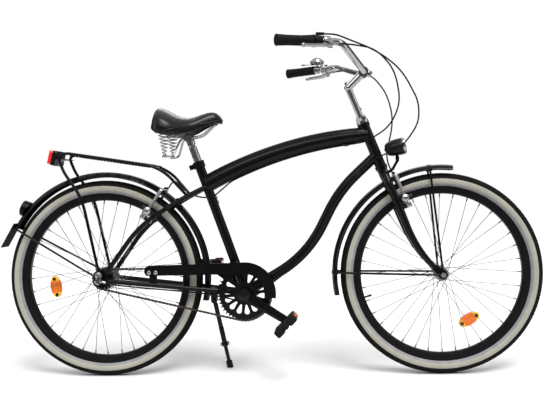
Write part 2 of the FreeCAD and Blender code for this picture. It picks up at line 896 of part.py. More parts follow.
def saddle_rails():
    clamp = saddle_clamp
    rails = [saddle_rail(1), saddle_rail(-1)]
    jaws = cylinder(clamp - across * saddle_clamp_half_width, clamp + across * saddle_clamp_half_width,
                    saddle_clamp_radius)
    neck = cylinder(clamp, clamp - seat_up * (saddle_clamp_radius + 12), saddle_clamp_radius)
    jaws = joined([jaws, neck]).cut(cylinder(clamp - seat_up * 60, clamp - seat_up * saddle_clamp_radius,
                                             seat_post_radius - 2.5))
    for rail in rails:
        jaws = jaws.cut(rail)
    nuts = [hex_nut(clamp + across * (side * saddle_clamp_half_width),
                    clamp + across * (side * (saddle_clamp_half_width + 7)), 8) for side in (1, -1)]
    nose_bar_place = Vector(clamp.x + 92, 0, clamp.z + saddle_nose_rise)
    nose_bar = cylinder(nose_bar_place - across * 14, nose_bar_place + across * 14, saddle_rail_radius + 1)
    nose_bar = nose_bar.cut(rails[0]).cut(rails[1])
    return Part.makeCompound(rails + [jaws] + nuts + nose_bar.Solids)


def coil_point(side, turn):
    share = turn / spring_turns
    radius = spring_bottom_radius + (spring_top_radius - spring_bottom_radius) * share
    angle = 2 * math.pi * turn * side
    middle = mirrored(spring_top, side) - Vector(0, 0, spring_height - spring_wire_radius)
    rise = (spring_height - 2 * spring_wire_radius) * share
    return middle + Vector(radius * math.cos(angle), radius * math.sin(angle), rise)


def coil_heading(side, turn):
    step = 0.001
    return unit(coil_point(side, turn + step) - coil_point(side, turn - step))


def biarc(start, start_heading, end, end_heading):
    # Two arcs that leave the start and reach the end along the given headings
    span = end - start
    total = start_heading + end_heading
    spread = 2 * (1 - start_heading.dot(end_heading))
    along = span.dot(total)
    reach = (math.sqrt(along ** 2 + spread * span.dot(span)) - along) / spread
    meet = (start + end + (start_heading - end_heading) * reach) * 0.5
    first = start + start_heading * reach
    second = end - end_heading * reach
    return [corner_arc(first, unit(start - first), unit(meet - first), reach),
            corner_arc(second, unit(meet - second), unit(end - second), reach)]


def saddle_spring(side):
    edges = []
    quarters = spring_turns * 4
    for index in range(quarters):
        start = index / 4
        end = (index + 1) / 4
        edges += biarc(coil_point(side, start), coil_heading(side, start),
                       coil_point(side, end), coil_heading(side, end))
    path = Part.Wire(edges)
    return pipe(path, spring_wire_radius)


def spring_least_gap():
    # Nearest approach of two turns of one spring, measured on points along the wire
    steps = 36
    points = [coil_point(1, index / steps) for index in range(spring_turns * steps + 1)]
    least = spring_height
    for index, point in enumerate(points):
        for other in points[index + steps // 2:]:
            least = min(least, (other - point).Length)
    return least - 2 * spring_wire_radius


def saddle_section(forward, half_width, top, skirt, under):
    # A crowned pad with drawn-in sides and a hollow underside, measured from the clamp
    shoulder = top - (top - skirt) * 0.3
    waist = skirt + (top - skirt) * 0.35
    hem = half_width * 0.94

    def at(side, height):
        return saddle_clamp + Vector(forward, side, height)

    inside = half_width * 0.8
    edges = [Part.Arc(at(inside, shoulder), at(0, top), at(-inside, shoulder)).toShape(),
             Part.Arc(at(-inside, shoulder), at(-half_width, waist), at(-hem, skirt)).toShape(),
             Part.Arc(at(-hem, skirt), at(0, under), at(hem, skirt)).toShape(),
             Part.Arc(at(hem, skirt), at(half_width, waist), at(inside, shoulder)).toShape()]
    return Part.Wire(edges)


def saddle():
    sections = [saddle_section(-124, 62, 70, 40, 48), saddle_section(-105, 98, 93, 14, 28),
                saddle_section(-69, 111, 96, 2, 24), saddle_section(-29, 98, 75, 1, 28),
                saddle_section(11, 70, 68, 8, 38), saddle_section(55, 43, 74, 26, 49),
                saddle_section(97, 27, 78, 44, 52), saddle_section(118, 14, 70, 52, 56)]
    return Part.makeLoft(sections, True, False)


# Fork, stem and handlebar


def blade_path(side):
    points = [head_at(fork_length - 12, 0, side * 6),
              head_at(fork_length - 14, 0, side * crown_half_width * 0.62),
              head_at(fork_length - 14 - blade_shoulder_drop, 0, side * crown_half_width),
              head_at(fork_length - 150, 0, side * crown_half_width)]
    return bent_path(points)


def blade_rake_path(side):
    points = [head_at(fork_length - 150, 0, side * crown_half_width),
              head_at(110, 0, side * crown_half_width),
              head_at(32, fork_offset * 0.68, side * crown_half_width)]
    return bent_path(points, share=0.95)


def front_stud_point(side):
    return head_at(brake_pad_orbit - brake_stud_drop, front_brake_ahead, side * brake_stud_side)


def fork():
    solids = [cylinder(head_at(fork_length - 20), head_at(head_tube_top + upper_cup_height + 8),
                       steerer_radius),
              cylinder(head_at(fork_length), head_at(fork_length + crown_race_height), cup_radius - 1),
              cylinder(head_at(fork_length - 28), head_at(fork_length), steerer_radius + 4)]
    for side in (1, -1):
        solids.append(pipe(blade_path(side), blade_radius))
        solids.append(tapered_pipe(blade_rake_path(side), blade_radius, blade_tip_radius))
        middle = side * (front_hub_half_width + dropout_thickness / 2)
        tip = head_at(34, fork_offset * 0.66)
        face = link_face(front_axle, dropout_radius, tip, blade_tip_radius)
        solids.append(plate(face, dropout_thickness, middle))
        stud = front_stud_point(side)
        solids.append(cylinder(stud - head_ahead * front_brake_ahead,
                               stud + head_ahead * (brake_arm_thickness / 2 + 2), brake_stud_radius))
        solids.append(cylinder(stud - head_ahead * front_brake_ahead,
                               stud - head_ahead * (brake_arm_thickness / 2 + running_gap),
                               brake_stud_radius + 3.5))
    whole = joined(solids)
    reach = across * (front_hub_half_width + 2 * dropout_thickness)
    whole = whole.cut(cylinder(front_axle - reach, front_axle + reach, axle_radius + running_clearance))
    inside = across * (front_hub_half_width)
    whole = whole.cut(cylinder(front_axle - inside, front_axle + inside, dropout_radius + 14))
    top = head_at(head_tube_top + upper_cup_height + 8)
    return whole.cut(cylinder(head_at(fork_length + 40), top, steerer_bore_radius))


def stem():
    lock_bottom = head_at(head_tube_top + upper_cup_height + running_gap)
    lock_top = head_at(head_tube_top + upper_cup_height + locknut_height)
    steerer_top = head_at(head_tube_top + upper_cup_height + 8)
    quill_bottom = head_at(head_tube_top - 60)
    quill = joined([cylinder(quill_bottom, stem_knee, stem_radius),
                    Part.makeSphere(stem_radius + 2, stem_knee),
                    cylinder(stem_knee, bar_clamp, stem_radius + 2),
                    cylinder(bar_clamp - across * bar_clamp_half_width,
                             bar_clamp + across * bar_clamp_half_width,
                             stem_clamp_radius)])
    quill = quill.cut(cylinder(bar_clamp - across * bar_clamp_half_width,
                               bar_clamp + across * bar_clamp_half_width,
                               bar_radius))
    nut = joined([cylinder(lock_bottom, lock_bottom + head_up * 9, cup_radius),
                  hex_nut(lock_bottom + head_up * 9, lock_top - head_up * 6, locknut_radius + 2),
                  cylinder(lock_top - head_up * 6, lock_top, locknut_radius - 2)])
    nut = nut.cut(cylinder(lock_bottom, lock_top, stem_radius + 0.1))
    nut = nut.cut(cylinder(lock_bottom, steerer_top, steerer_radius))
    bolt = hex_nut(stem_knee + head_up * (stem_radius + 1.5), stem_knee + head_up * (stem_radius + 8), 6.5)
    return Part.makeCompound([quill, nut, bolt])


def bar_path():
    points = [bar_end, bar_bend, bar_clamp + across * bar_straight_half]
    left = [mirrored(point, 1) for point in points]
    right = [mirrored(point, -1) for point in reversed(points)]
    return bent_path(left + right, bar_bend_radius)


def handlebar():
    return pipe(bar_path(), bar_radius, bar_radius - bar_wall)


def bar_inward(side):
    return unit(mirrored(bar_bend, side) - mirrored(bar_end, side))


def bar_at(side, place):
    return mirrored(bar_end, side) + bar_inward(side) * place


def lever_front(side):
    # From the bar towards the lever: outwards and down
    inward = bar_inward(side)
    level = unit(Vector(abs(inward.y), side * inward.x, 0))
    droop = math.radians(lever_droop)
    down = unit(inward.cross(level)) * (-side)
    if down.z > 0:
        down = down * -1
    return unit(level * math.cos(droop) + down * math.sin(droop))


def grips():
    solids = []
    for side, length in ((1, left_grip_length), (-1, right_grip_length)):
        start = bar_at(side, -grip_cap)
        middle = bar_at(side, length * 0.3)
        end = bar_at(side, length)
        body = joined([cone(start, middle, grip_radius + 1.5, grip_radius),
                       cylinder(middle, end, grip_radius)])
        solids.append(body.cut(cylinder(bar_at(side, 0), end, bar_radius)))
    return Part.makeCompound(solids)


def shifter_twist():
    start = bar_at(-1, right_grip_length + control_gap)
    end = bar_at(-1, right_grip_length + control_gap + shifter_length)
    body = cone(start, end, grip_radius + 0.5, shifter_radius - 1)
    return body.cut(cylinder(start, end, bar_radius + running_clearance))


def shifter_housing():
    start_place = right_grip_length + 2 * control_gap + shifter_length
    start = bar_at(-1, start_place)
    end = bar_at(-1, start_place + shifter_housing_length)
    body = cone(start, end, shifter_radius, shifter_radius - 3)
    spout_start = (start + end) * 0.5 + Vector(0, 0, shifter_spout_height)
    spout = joined([cylinder((start + end) * 0.5, spout_start, cable_radius + 2),
                    Part.makeSphere(cable_radius + 2, spout_start),
                    cylinder(spout_start, spout_start + bar_inward(-1) * shifter_spout_length,
                             cable_radius + 2)])
    body = joined([body, spout])
    return body.cut(cylinder(start, end, bar_radius))


def lever_pivot(side, place):
    return bar_at(side, place) + lever_front(side) * lever_pivot_reach


def lever_axes(side):
    # Out along the grip, away from the bar, and the pivot's own line
    outward = bar_inward(side) * -1
    front = lever_front(side)
    return outward, front, unit(outward.cross(front))


def flat_link(origin, outward, front, ends, thickness):
    # A chain of round-ended links in the plane of two directions, about that plane
    pieces = []
    for (first, first_radius), (second, second_radius) in zip(ends, ends[1:]):
        face = link_face(Vector(first[0], 0, first[1]), first_radius,
                         Vector(second[0], 0, second[1]), second_radius)
        pieces.append(plate(face, thickness, 0))
    solid = joined(pieces)
    return placed(solid, origin, outward, front.cross(outward))


def lever_clamp(side, place):
    outward, front, pin = lever_axes(side)
    middle = bar_at(side, place)
    half = outward * (lever_clamp_length / 2)
    ring = cylinder(middle - half, middle + half, bar_radius + lever_clamp_wall)
    ear_offset = lever_thickness / 2 + running_gap + 1.5
    ears = []
    for way in (1, -1):
        ears.append(flat_link(middle + pin * (way * ear_offset), outward, front,
                              [((0, 0), 10), ((0, lever_pivot_reach), 7)], 3.0))
    pivot = lever_pivot(side, place)
    pin_end = pin * (ear_offset + 1.5)
    barrel_start = pivot - front * 6 - outward * 2
    back = flat_link(middle, outward, front, [((-2, 0), 9), ((-9, lever_pivot_reach - 8), 5)],
                     2 * ear_offset)
    barrel = cylinder(barrel_start - outward * 6, barrel_start - outward * 26, cable_radius + 2)
    body = joined([ring, back] + ears + [cylinder(pivot - pin_end, pivot + pin_end, lever_pin_radius),
                                         barrel])
    room = flat_link(middle, outward, front,
                     [((0, lever_pivot_reach), 10.5),
                      ((lever_length, lever_pivot_reach + lever_flare), 13)],
                     lever_thickness + 2 * running_gap)
    room = room.cut(cylinder(pivot - pin_end, pivot + pin_end, lever_pin_radius))
    body = largest(body.cut(room))
    return body.cut(cylinder(middle - half * 2, middle + half * 2, bar_radius))


def brake_lever_clamps():
    return Part.makeCompound([lever_clamp(1, left_lever_place), lever_clamp(-1, right_lever_place)])


def brake_lever(side, place):
    outward, front, pin = lever_axes(side)
    pivot = lever_pivot(side, place)
    ends = [((0, 0), 7.5), ((lever_length * 0.32, lever_flare * 0.85), 6.5),
            ((lever_length, lever_flare), 4.5)]
    blade = flat_link(pivot, outward, front, ends, lever_thickness)
    tip = pivot + outward * lever_length + front * lever_flare
    blade = joined([blade, Part.makeSphere(6.5, tip)])
    return blade.cut(cylinder(pivot - pin * 20, pivot + pin * 20, lever_pin_radius + running_clearance))


def bell():
    middle = bar_at(1, bell_place)
    half = bar_inward(1) * 6
    ring = cylinder(middle - half, middle + half, bar_radius + 3)
    up = Vector(0, 0, 1)
    base = middle + up * (bell_stand + 2)
    post = cylinder(middle, base + up * (bell_height + 3.5), bell_post_radius)
    tray = cylinder(base - up * 3, base, bell_radius - 3)
    clamp = joined([ring, post, tray]).cut(cylinder(middle - half, middle + half, bar_radius))
    rim_low = base + up * 1.5

    def at(radius, height):
        return rim_low + Vector(radius, 0, height)

    inner = bell_radius - bell_wall
    top = bell_height + 2
    edges = [Part.Arc(at(bell_radius, 0), at(bell_radius * 0.74, bell_height * 0.72),
                      at(bell_post_radius, top)).toShape(),
             Part.LineSegment(at(bell_post_radius, top), at(bell_post_radius, top - bell_wall)).toShape(),
             Part.Arc(at(bell_post_radius, top - bell_wall),
                      at(inner * 0.74, (bell_height - bell_wall) * 0.72),
                      at(inner, 0)).toShape(),
             Part.LineSegment(at(inner, 0), at(bell_radius, 0)).toShape()]
    return Part.makeCompound([clamp, turned(edges, rim_low, up)])


def bell_lever_pivot():
    return bar_at(1, bell_place) + Vector(-(bell_radius - 9), 0, bell_stand - 1 - running_gap)


def bell_lever():
    pivot = bell_lever_pivot()
    tip = pivot + Vector(-34, 4, 0)
    thickness = Vector(0, 0, 2.5)
    return joined([cylinder(pivot - thickness, pivot, 5),
                   cylinder(pivot - thickness * 0.5, tip - thickness * 0.5, 1.2),
                   cylinder(tip - thickness, tip, 7)])


# Headlight


def light_axis():
    angle = math.radians(light_tilt)
    return Vector(math.cos(angle), 0, math.sin(angle))


def light_pivot():
    along = light_axis()
    below = Vector(along.z, 0, -along.x)
    return light_tail + along * (light_length * 0.52) + below * (light_radius + 6)


def headlight():
    along = light_axis()
    above = Vector(-along.z, 0, along.x)

    def at(forward, radius):
        return light_tail + along * forward + above * radius

    mouth = light_length - light_lens_depth
    inner = light_radius - light_wall
    belly = light_length * 0.3
    outside = Part.Arc(at(0, 0), at(belly, light_radius * 0.72), at(mouth, light_radius)).toShape()
    inside = Part.Arc(at(mouth, inner), at(belly + light_wall, light_radius * 0.66),
                      at(light_wall, 0)).toShape()
    full = turned([outside, Part.LineSegment(at(mouth, light_radius), at(mouth, 0)).toShape(),
                   Part.LineSegment(at(mouth, 0), at(0, 0)).toShape()], light_tail, along)
    hollow = turned([inside, Part.LineSegment(at(mouth, inner), at(mouth, 0)).toShape(),
                     Part.LineSegment(at(mouth, 0), at(light_wall, 0)).toShape()], light_tail, along)
    pivot = light_pivot()
    lug = joined([cylinder(pivot - across * 4, pivot + across * 4, 6),
                  Part.makeCylinder(4, 13, pivot, above)])
    body = full.fuse(lug).cut(hollow)
    return body.cut(cylinder(pivot - across * 10, pivot + across * 10,
                             lever_pin_radius + running_clearance))


def headlight_lens():
    along = light_axis()
    mouth = light_tail + along * (light_length - light_lens_depth)
    ring = cylinder(mouth, mouth + along * (light_lens_depth * 0.6), light_radius)
    dome = cone(mouth + along * (light_lens_depth * 0.6), mouth + along * light_lens_depth,
                light_radius, light_radius * 0.8)
    return joined([ring, dome])


def headlight_bracket():
    pivot = light_pivot()
    foot = head_at(fork_length - 15, steerer_radius + 4.5)
    knee = foot + head_ahead * 14 + Vector(0, 0, 4)
    strap = joined([cylinder(foot - head_ahead * 2, knee, 5), Part.makeSphere(5, knee),
                    cylinder(knee, pivot + Vector(0, 0, -11), 4.5),
                    Part.makeSphere(4.5, pivot + Vector(0, 0, -11))])
    ears = []
    for way in (1, -1):
        lower = pivot + Vector(0, 0, -11)
        face = link_face(Vector(pivot.x, 0, pivot.z), 6, Vector(lower.x, 0, lower.z), 5)
        ears.append(plate(face, 2.5, way * (4 + running_gap + 1.25)))
    base = cylinder(pivot + Vector(0, 0, -11) - across * (6.5 + running_gap),
                    pivot + Vector(0, 0, -11) + across * (6.5 + running_gap), 4.5)
    pin = cylinder(pivot - across * (8 + running_gap), pivot + across * (8 + running_gap), lever_pin_radius)
    room = cylinder(pivot - across * (4 + running_gap), pivot + across * (4 + running_gap), 6 + running_gap)
    body = joined([strap, base]).cut(room)
    body = joined([body] + ears + [pin])
    return body.cut(fork_crown_keepout())


def fork_crown_keepout():
    return joined([cylinder(head_at(fork_length - 28), head_at(fork_length), steerer_radius + 4)]
                  + [pipe(blade_path(side), blade_radius) for side in (1, -1)])


# Brakes


def brake_arm(stud, outward, side, stud_way):
    # The arm stands outwards from its stud and carries the shoe that faces the rim
    toward = across * (-side)
    top_shift = 5.0
    ends = [((0, 0), brake_arm_radius), ((-1.5, brake_arm_length * 0.45), brake_arm_radius - 0.5),
            ((top_shift, brake_arm_length), brake_arm_tip_radius)]
    pieces = []
    for (first, first_radius), (second, second_radius) in zip(ends, ends[1:]):
        face = link_face(Vector(first[0], 0, first[1]), first_radius,
                         Vector(second[0], 0, second[1]), second_radius)
        pieces.append(plate(face, brake_arm_thickness, 0))
    arm = placed(joined(pieces), stud, toward, outward.cross(toward))
    hole_reach = stud_way * 20
    arm = arm.cut(cylinder(stud - hole_reach, stud + hole_reach, brake_stud_radius + running_clearance))
    face_side = rim_half_width + brake_pad_gap
    pad_middle = stud + outward * brake_stud_drop
    pad_middle.y = side * (face_side + brake_pad_thickness / 2)
    pad = Part.makeBox(brake_pad_length, brake_pad_thickness, brake_pad_height)
    pad.translate(Vector(-brake_pad_length / 2, -brake_pad_thickness / 2, -brake_pad_height / 2))
    pad = placed(pad, pad_middle, stud_way, across)
    post = cylinder(Vector(pad_middle.x, side * (face_side + brake_pad_thickness), pad_middle.z),
                    Vector(pad_middle.x, side * (brake_stud_side + brake_arm_radius + 5), pad_middle.z),
                    3.5)
    return Part.makeCompound([joined([arm, post]), pad])


def front_brake_arm(side):
    return brake_arm(front_stud_point(side), head_up, side, head_ahead)


def rear_brake_arm(side):
    outward, stud_way = rear_brake_axes()
    return brake_arm(rear_stud_point(side), outward, side, stud_way)


# Drive


def chain_place(step):
    # Where a pin lies on the loop, and which way the chain runs there
    distance = centre_distance
    span = bottom_bracket - rear_axle
    tilt = math.atan2(span.z, span.x)
    rise = math.asin((chainring_pitch_radius - sprocket_pitch_radius) / distance)
    straight = math.sqrt(distance ** 2 - (chainring_pitch_radius - sprocket_pitch_radius) ** 2) / chain_pitch
    front_wrap = chainring_teeth * (0.5 + rise / math.pi)
    rear_wrap = sprocket_teeth * (0.5 - rise / math.pi)
    front_start = tilt + math.pi / 2 + rise
    rear_start = tilt - math.pi / 2 - rise
    step = step % chain_links
    if step < front_wrap:
        angle = front_start - 2 * math.pi * step / chainring_teeth
        return loop_point(bottom_bracket, chainring_pitch_radius, angle)
    step -= front_wrap
    if step < straight:
        start = loop_point(bottom_bracket, chainring_pitch_radius, rear_start)
        end = loop_point(rear_axle, sprocket_pitch_radius, rear_start)
        return start + (end - start) * (step / straight)
    step -= straight
    if step < rear_wrap:
        angle = rear_start - 2 * math.pi * step / sprocket_teeth
        return loop_point(rear_axle, sprocket_pitch_radius, angle)
    step -= rear_wrap
    start = loop_point(rear_axle, sprocket_pitch_radius, front_start)
    end = loop_point(bottom_bracket, chainring_pitch_radius, front_start)
    return start + (end - start) * (step / straight)


def loop_point(centre, radius, angle):
    return centre + Vector(math.cos(angle) * radius, -chain_line, math.sin(angle) * radius)


def link_bar(half_height, thickness, middle):
    # A flat link plate whose ends reach past both pins
    reach = chain_pitch / 2 + half_height * 0.8
    bar = Part.makeBox(2 * reach, thickness, 2 * half_height)
    bar.translate(Vector(-reach, middle - thickness / 2, -half_height))
    return bar


def inner_link():
    middle = (roller_width + link_plate_thickness) / 2
    bars = [link_bar(link_plate_half_height, link_plate_thickness, way * middle) for way in (1, -1)]
    for place in (-chain_pitch / 2, chain_pitch / 2):
        bars.append(hex_nut(Vector(place, -roller_width / 2, 0), Vector(place, roller_width / 2, 0),
                            roller_radius))
    return joined(bars)


def outer_link():
    middle = roller_width / 2 + 1.5 * link_plate_thickness + link_plate_gap
    height = link_plate_half_height - 0.4
    return Part.makeCompound([link_bar(height, link_plate_thickness, way * middle) for way in (1, -1)])


def chain():
    kinds = (inner_link(), outer_link())
    links = []
    for index in range(chain_links):
        start = chain_place(index)
        end = chain_place(index + 1)
        along = unit(end - start)
        links += placed(kinds[index % 2], (start + end) * 0.5, along, across).Solids
    return Part.makeCompound(links)


def toothed_face(centre, teeth, pitch_radius, first_angle):
    # Roller seats on the pitch circle with a blunt tooth between each two
    seat = roller_radius + roller_room
    edges = []
    step = 2 * math.pi / teeth
    tip_radius = pitch_radius + tooth_height
    tip_half = 0.1 * step

    def at(radius, angle):
        return centre + Vector(math.cos(angle) * radius, 0, math.sin(angle) * radius)

    opening = seat / pitch_radius
    for index in range(teeth):
        valley = first_angle + index * step
        start = at(pitch_radius, valley - opening)
        end = at(pitch_radius, valley + opening)
        edges.append(Part.Arc(start, at(pitch_radius - seat, valley), end).toShape())
        tip_start = at(tip_radius, valley + step / 2 - tip_half)
        tip_end = at(tip_radius, valley + step / 2 + tip_half)
        next_start = at(pitch_radius, valley + step - opening)
        edges.append(Part.LineSegment(end, tip_start).toShape())
        edges.append(Part.LineSegment(tip_start, tip_end).toShape())
        edges.append(Part.LineSegment(tip_end, next_start).toShape())
    return Part.Face(Part.Wire(edges))


def seat_angle(centre, step):
    place = chain_place(step) - centre
    return math.atan2(place.z, place.x)


def chainring():
    face = toothed_face(bottom_bracket, chainring_teeth, chainring_pitch_radius,
                        seat_angle(bottom_bracket, 4))
    disc = plate(face, chainring_thickness, -chain_line)
    cuts = []
    inner = chainring_pitch_radius * 0.45
    outer = chainring_pitch_radius * 0.68
    for index in range(chainring_window_count):
        angle = 360.0 * index / chainring_window_count + crank_degrees
        first = wheel_point(bottom_bracket, inner, angle)
        second = wheel_point(bottom_bracket, outer, angle)
        cuts.append(plate(link_face(first, 3.0, second, 8.5), 4 * chainring_thickness, -chain_line))
    bore = cylinder(bottom_bracket - across * (chain_line + 10),
                    bottom_bracket - across * (chain_line - 10),
                    chainring_spigot_radius)
    return disc.cut(Part.makeCompound(cuts)).cut(bore)


def rear_sprocket():
    first = round(chain_links * 0.5 + (chainring_teeth - sprocket_teeth) * 0.25) + 3
    face = toothed_face(rear_axle, sprocket_teeth, sprocket_pitch_radius, seat_angle(rear_axle, first))
    disc = plate(face, chainring_thickness, -chain_line)
    boss = cylinder(rear_axle - across * (chain_line + 8), rear_axle - across * (chain_line - 8),
                    sprocket_boss_radius)
    solid = joined([disc, boss])
    bore = across * (chain_line + 30)
    return solid.cut(cylinder(rear_axle - bore, rear_axle, axle_radius + running_clearance))


def crank_end(side):
    return wheel_point(bottom_bracket, crank_length * -side, crank_degrees)


def spindle_half_length():
    return crank_inner_face + crank_thickness - 4


def crank_spindle():
    reach = across * spindle_half_length()
    return cylinder(bottom_bracket - reach, bottom_bracket + reach, spindle_radius)


def pedal_outer_side():
    return crank_inner_face + crank_thickness + pedal_axle_gap + pedal_width


def crank_arm(side):
    boss_start = bottom_bracket_half_width + 9
    if side < 0:
        boss_start = chain_line - chainring_thickness / 2
    outer = crank_inner_face + crank_thickness
    end = crank_end(side)
    face = link_face(bottom_bracket, crank_boss_radius, end, crank_end_radius)
    arm = plate(face, crank_thickness, side * (crank_inner_face + crank_thickness / 2))
    spigot_end = chain_line + chainring_thickness / 2 if side < 0 else boss_start + 2
    boss = joined([cylinder(bottom_bracket + across * (side * boss_start),
                            bottom_bracket + across * (side * spigot_end),
                            chainring_spigot_radius),
                   cylinder(bottom_bracket + across * (side * spigot_end),
                            bottom_bracket + across * (side * outer),
                            crank_boss_radius + 3)])
    axle = cylinder(end + across * (side * (outer - 3)), end + across * (side * (pedal_outer_side() - 8)),
                    pedal_axle_radius)
    shoulder = cylinder(end + across * (side * outer),
                        end + across * (side * (outer + pedal_axle_gap - running_gap)),
                        pedal_axle_radius + 3)
    return joined([arm, boss, axle, shoulder]).cut(crank_spindle())


def pedal(side, tilt):
    # Two rubber-faced blocks on a cage, with a lens on each end
    end = crank_end(side)
    inner = crank_inner_face + crank_thickness + pedal_axle_gap
    turn = math.radians(tilt)
    forward = Vector(math.cos(turn), 0, math.sin(turn))
    upward = Vector(-math.sin(turn), 0, math.cos(turn))
    middle = end + across * (side * (inner + pedal_width / 2))
    barrel = cylinder(end + across * (side * inner), end + across * (side * (inner + pedal_width)), 11)
    pieces = [barrel]
    lenses = []
    for way in (1, -1):
        block = Part.makeBox(pedal_length * 0.36, pedal_width, pedal_thickness)
        block.translate(Vector(-pedal_length * 0.18, -pedal_width / 2, -pedal_thickness / 2))
        edges = [edge for edge in block.Edges if abs(edge.tangentAt(edge.FirstParameter).y) > 0.9]
        block = block.makeFillet(5.0, edges)
        pieces.append(placed(block, middle + forward * (way * pedal_length * 0.32), forward, across))
        lens = Part.makeBox(3.0, pedal_width * 0.6, pedal_thickness * 0.5)
        lens.translate(Vector(-1.5, -pedal_width * 0.3, -pedal_thickness * 0.25))
        lenses.append(placed(lens, middle + forward * (way * (pedal_length / 2 + 1.5)), forward, across))
    for share in (-0.42, 0.42):
        rib = Part.makeBox(pedal_length * 0.8, 7, pedal_thickness * 0.5)
        rib.translate(Vector(-pedal_length * 0.4, pedal_width * share - 3.5, -pedal_thickness * 0.25))
        pieces.append(placed(rib, middle, forward, across))
    body = joined(pieces)
    bore_end = end + across * (side * (pedal_outer_side() - 8 + running_gap))
    body = body.cut(cylinder(end, bore_end, pedal_axle_radius + running_clearance))
    return Part.makeCompound([body] + lenses)


def chain_guard():
    nose_inner = guard_nose_radius - guard_band
    start_angle = 90.0
    outer_top = wheel_point(bottom_bracket, guard_nose_radius, start_angle)
    outer_middle = wheel_point(bottom_bracket, guard_nose_radius, (start_angle + guard_nose_degrees) / 2)
    outer_end = wheel_point(bottom_bracket, guard_nose_radius, guard_nose_degrees)
    inner_end = wheel_point(bottom_bracket, nose_inner, guard_nose_degrees)
    inner_middle = wheel_point(bottom_bracket, nose_inner, (start_angle + guard_nose_degrees) / 2)
    inner_top = wheel_point(bottom_bracket, nose_inner, start_angle)
    rear_top = Vector(guard_rear_end + 12, 0, guard_rear_top)
    rear_low = Vector(guard_rear_end + 8, 0, guard_rear_top - guard_rear_band)
    rear_middle = Vector(guard_rear_end, 0, guard_rear_top - guard_rear_band / 2)
    edges = [Part.LineSegment(rear_top, outer_top).toShape(),
             Part.Arc(outer_top, outer_middle, outer_end).toShape(),
             Part.LineSegment(outer_end, inner_end).toShape(),
             Part.Arc(inner_end, inner_middle, inner_top).toShape(),
             Part.LineSegment(inner_top, rear_low).toShape(),
             Part.Arc(rear_low, rear_middle, rear_top).toShape()]
    blade = plate(Part.Face(Part.Wire(edges)), guard_thickness, -guard_side)
    lip_edges = [Part.LineSegment(rear_top, outer_top).toShape(),
                 Part.Arc(outer_top, outer_middle, outer_end).toShape()]
    shrink = guard_thickness
    lip_inner = [Part.LineSegment(Vector(rear_top.x, 0, rear_top.z - shrink),
                                  Vector(outer_top.x, 0, outer_top.z - shrink)).toShape(),
                 Part.Arc(wheel_point(bottom_bracket, guard_nose_radius - shrink, start_angle),
                          wheel_point(bottom_bracket, guard_nose_radius - shrink,
                                      (start_angle + guard_nose_degrees) / 2),
                          wheel_point(bottom_bracket, guard_nose_radius - shrink,
                                      guard_nose_degrees)).toShape()]
    lip_ends = [Part.LineSegment(rear_top, Vector(rear_top.x, 0, rear_top.z - shrink)).toShape(),
                Part.LineSegment(outer_end, wheel_point(bottom_bracket, guard_nose_radius - shrink,
                                                        guard_nose_degrees)).toShape()]
    wire = Part.Wire(Part.__sortEdges__(lip_edges + lip_inner + lip_ends))
    lip = plate(Part.Face(wire), guard_flange_depth, -guard_side + guard_flange_depth / 2)
    guard = joined([blade, lip])
    clip_foot = chain_stay_height(guard_clip_place)
    rear_clip = Part.makeBox(guard_clip_width, guard_clip_thickness,
                             guard_rear_top - guard_rear_band * 0.6 - clip_foot)
    rear_clip.translate(Vector(guard_clip_place - guard_clip_width / 2 + 1,
                               -guard_side + guard_thickness / 2,
                               clip_foot))
    rear_clip = rear_clip.cut(pipe(chain_stay_path(-1), chain_stay_radius))
    strap_height = guard_top_at(strap_forward())
    strap = Part.makeBox(guard_strap_width, guard_side + guard_thickness / 2, guard_strap_thickness)
    strap.translate(Vector(strap_forward() - guard_strap_width / 2, -guard_side - guard_thickness / 2,
                           strap_height))
    strap = largest(strap.cut(seat_tube_outer()))
    return Part.makeCompound([guard, largest(rear_clip), strap])


def strap_forward():
    # The front strap crosses to the seat tube just above the guard's top edge
    height = bottom_bracket.z + guard_nose_radius
    return bottom_bracket.x - math.tan(math.radians(seat_tube_lean)) * (height - bottom_bracket.z)


def guard_top_at(forward):
    rear = guard_rear_end + 12
    high = bottom_bracket.z + guard_nose_radius
    share = (forward + guard_strap_width / 2 - rear) / (bottom_bracket.x - rear)
    return guard_rear_top + (high - guard_rear_top) * share


def chain_stay_height(forward):
    start = chain_stay_waist
    end = Vector(24, 0, axle_height - 5)
    share = (start.x - forward) / (start.x - end.x)
    return start.z + (end.z - start.z) * share


# Mudguards


def fender_blade(centre, lead, trail):
    # Degrees count from straight up: lead to the front and trail to the rear
    def at(side, radius):
        return centre + Vector(0, side, radius)

    edge = fender_radius - fender_depth
    wall = fender_wall
    edges = [Part.Arc(at(-fender_half_width, edge), at(0, fender_radius),
                      at(fender_half_width, edge)).toShape(),
             Part.LineSegment(at(fender_half_width, edge), at(fender_half_width - wall, edge)).toShape(),
             Part.Arc(at(fender_half_width - wall, edge), at(0, fender_radius - wall),
                      at(-fender_half_width + wall, edge)).toShape(),
             Part.LineSegment(at(-fender_half_width + wall, edge), at(-fender_half_width, edge)).toShape()]
    blade = turned(edges, centre, across, lead + trail)
    blade.rotate(centre, across, -trail)
    return blade


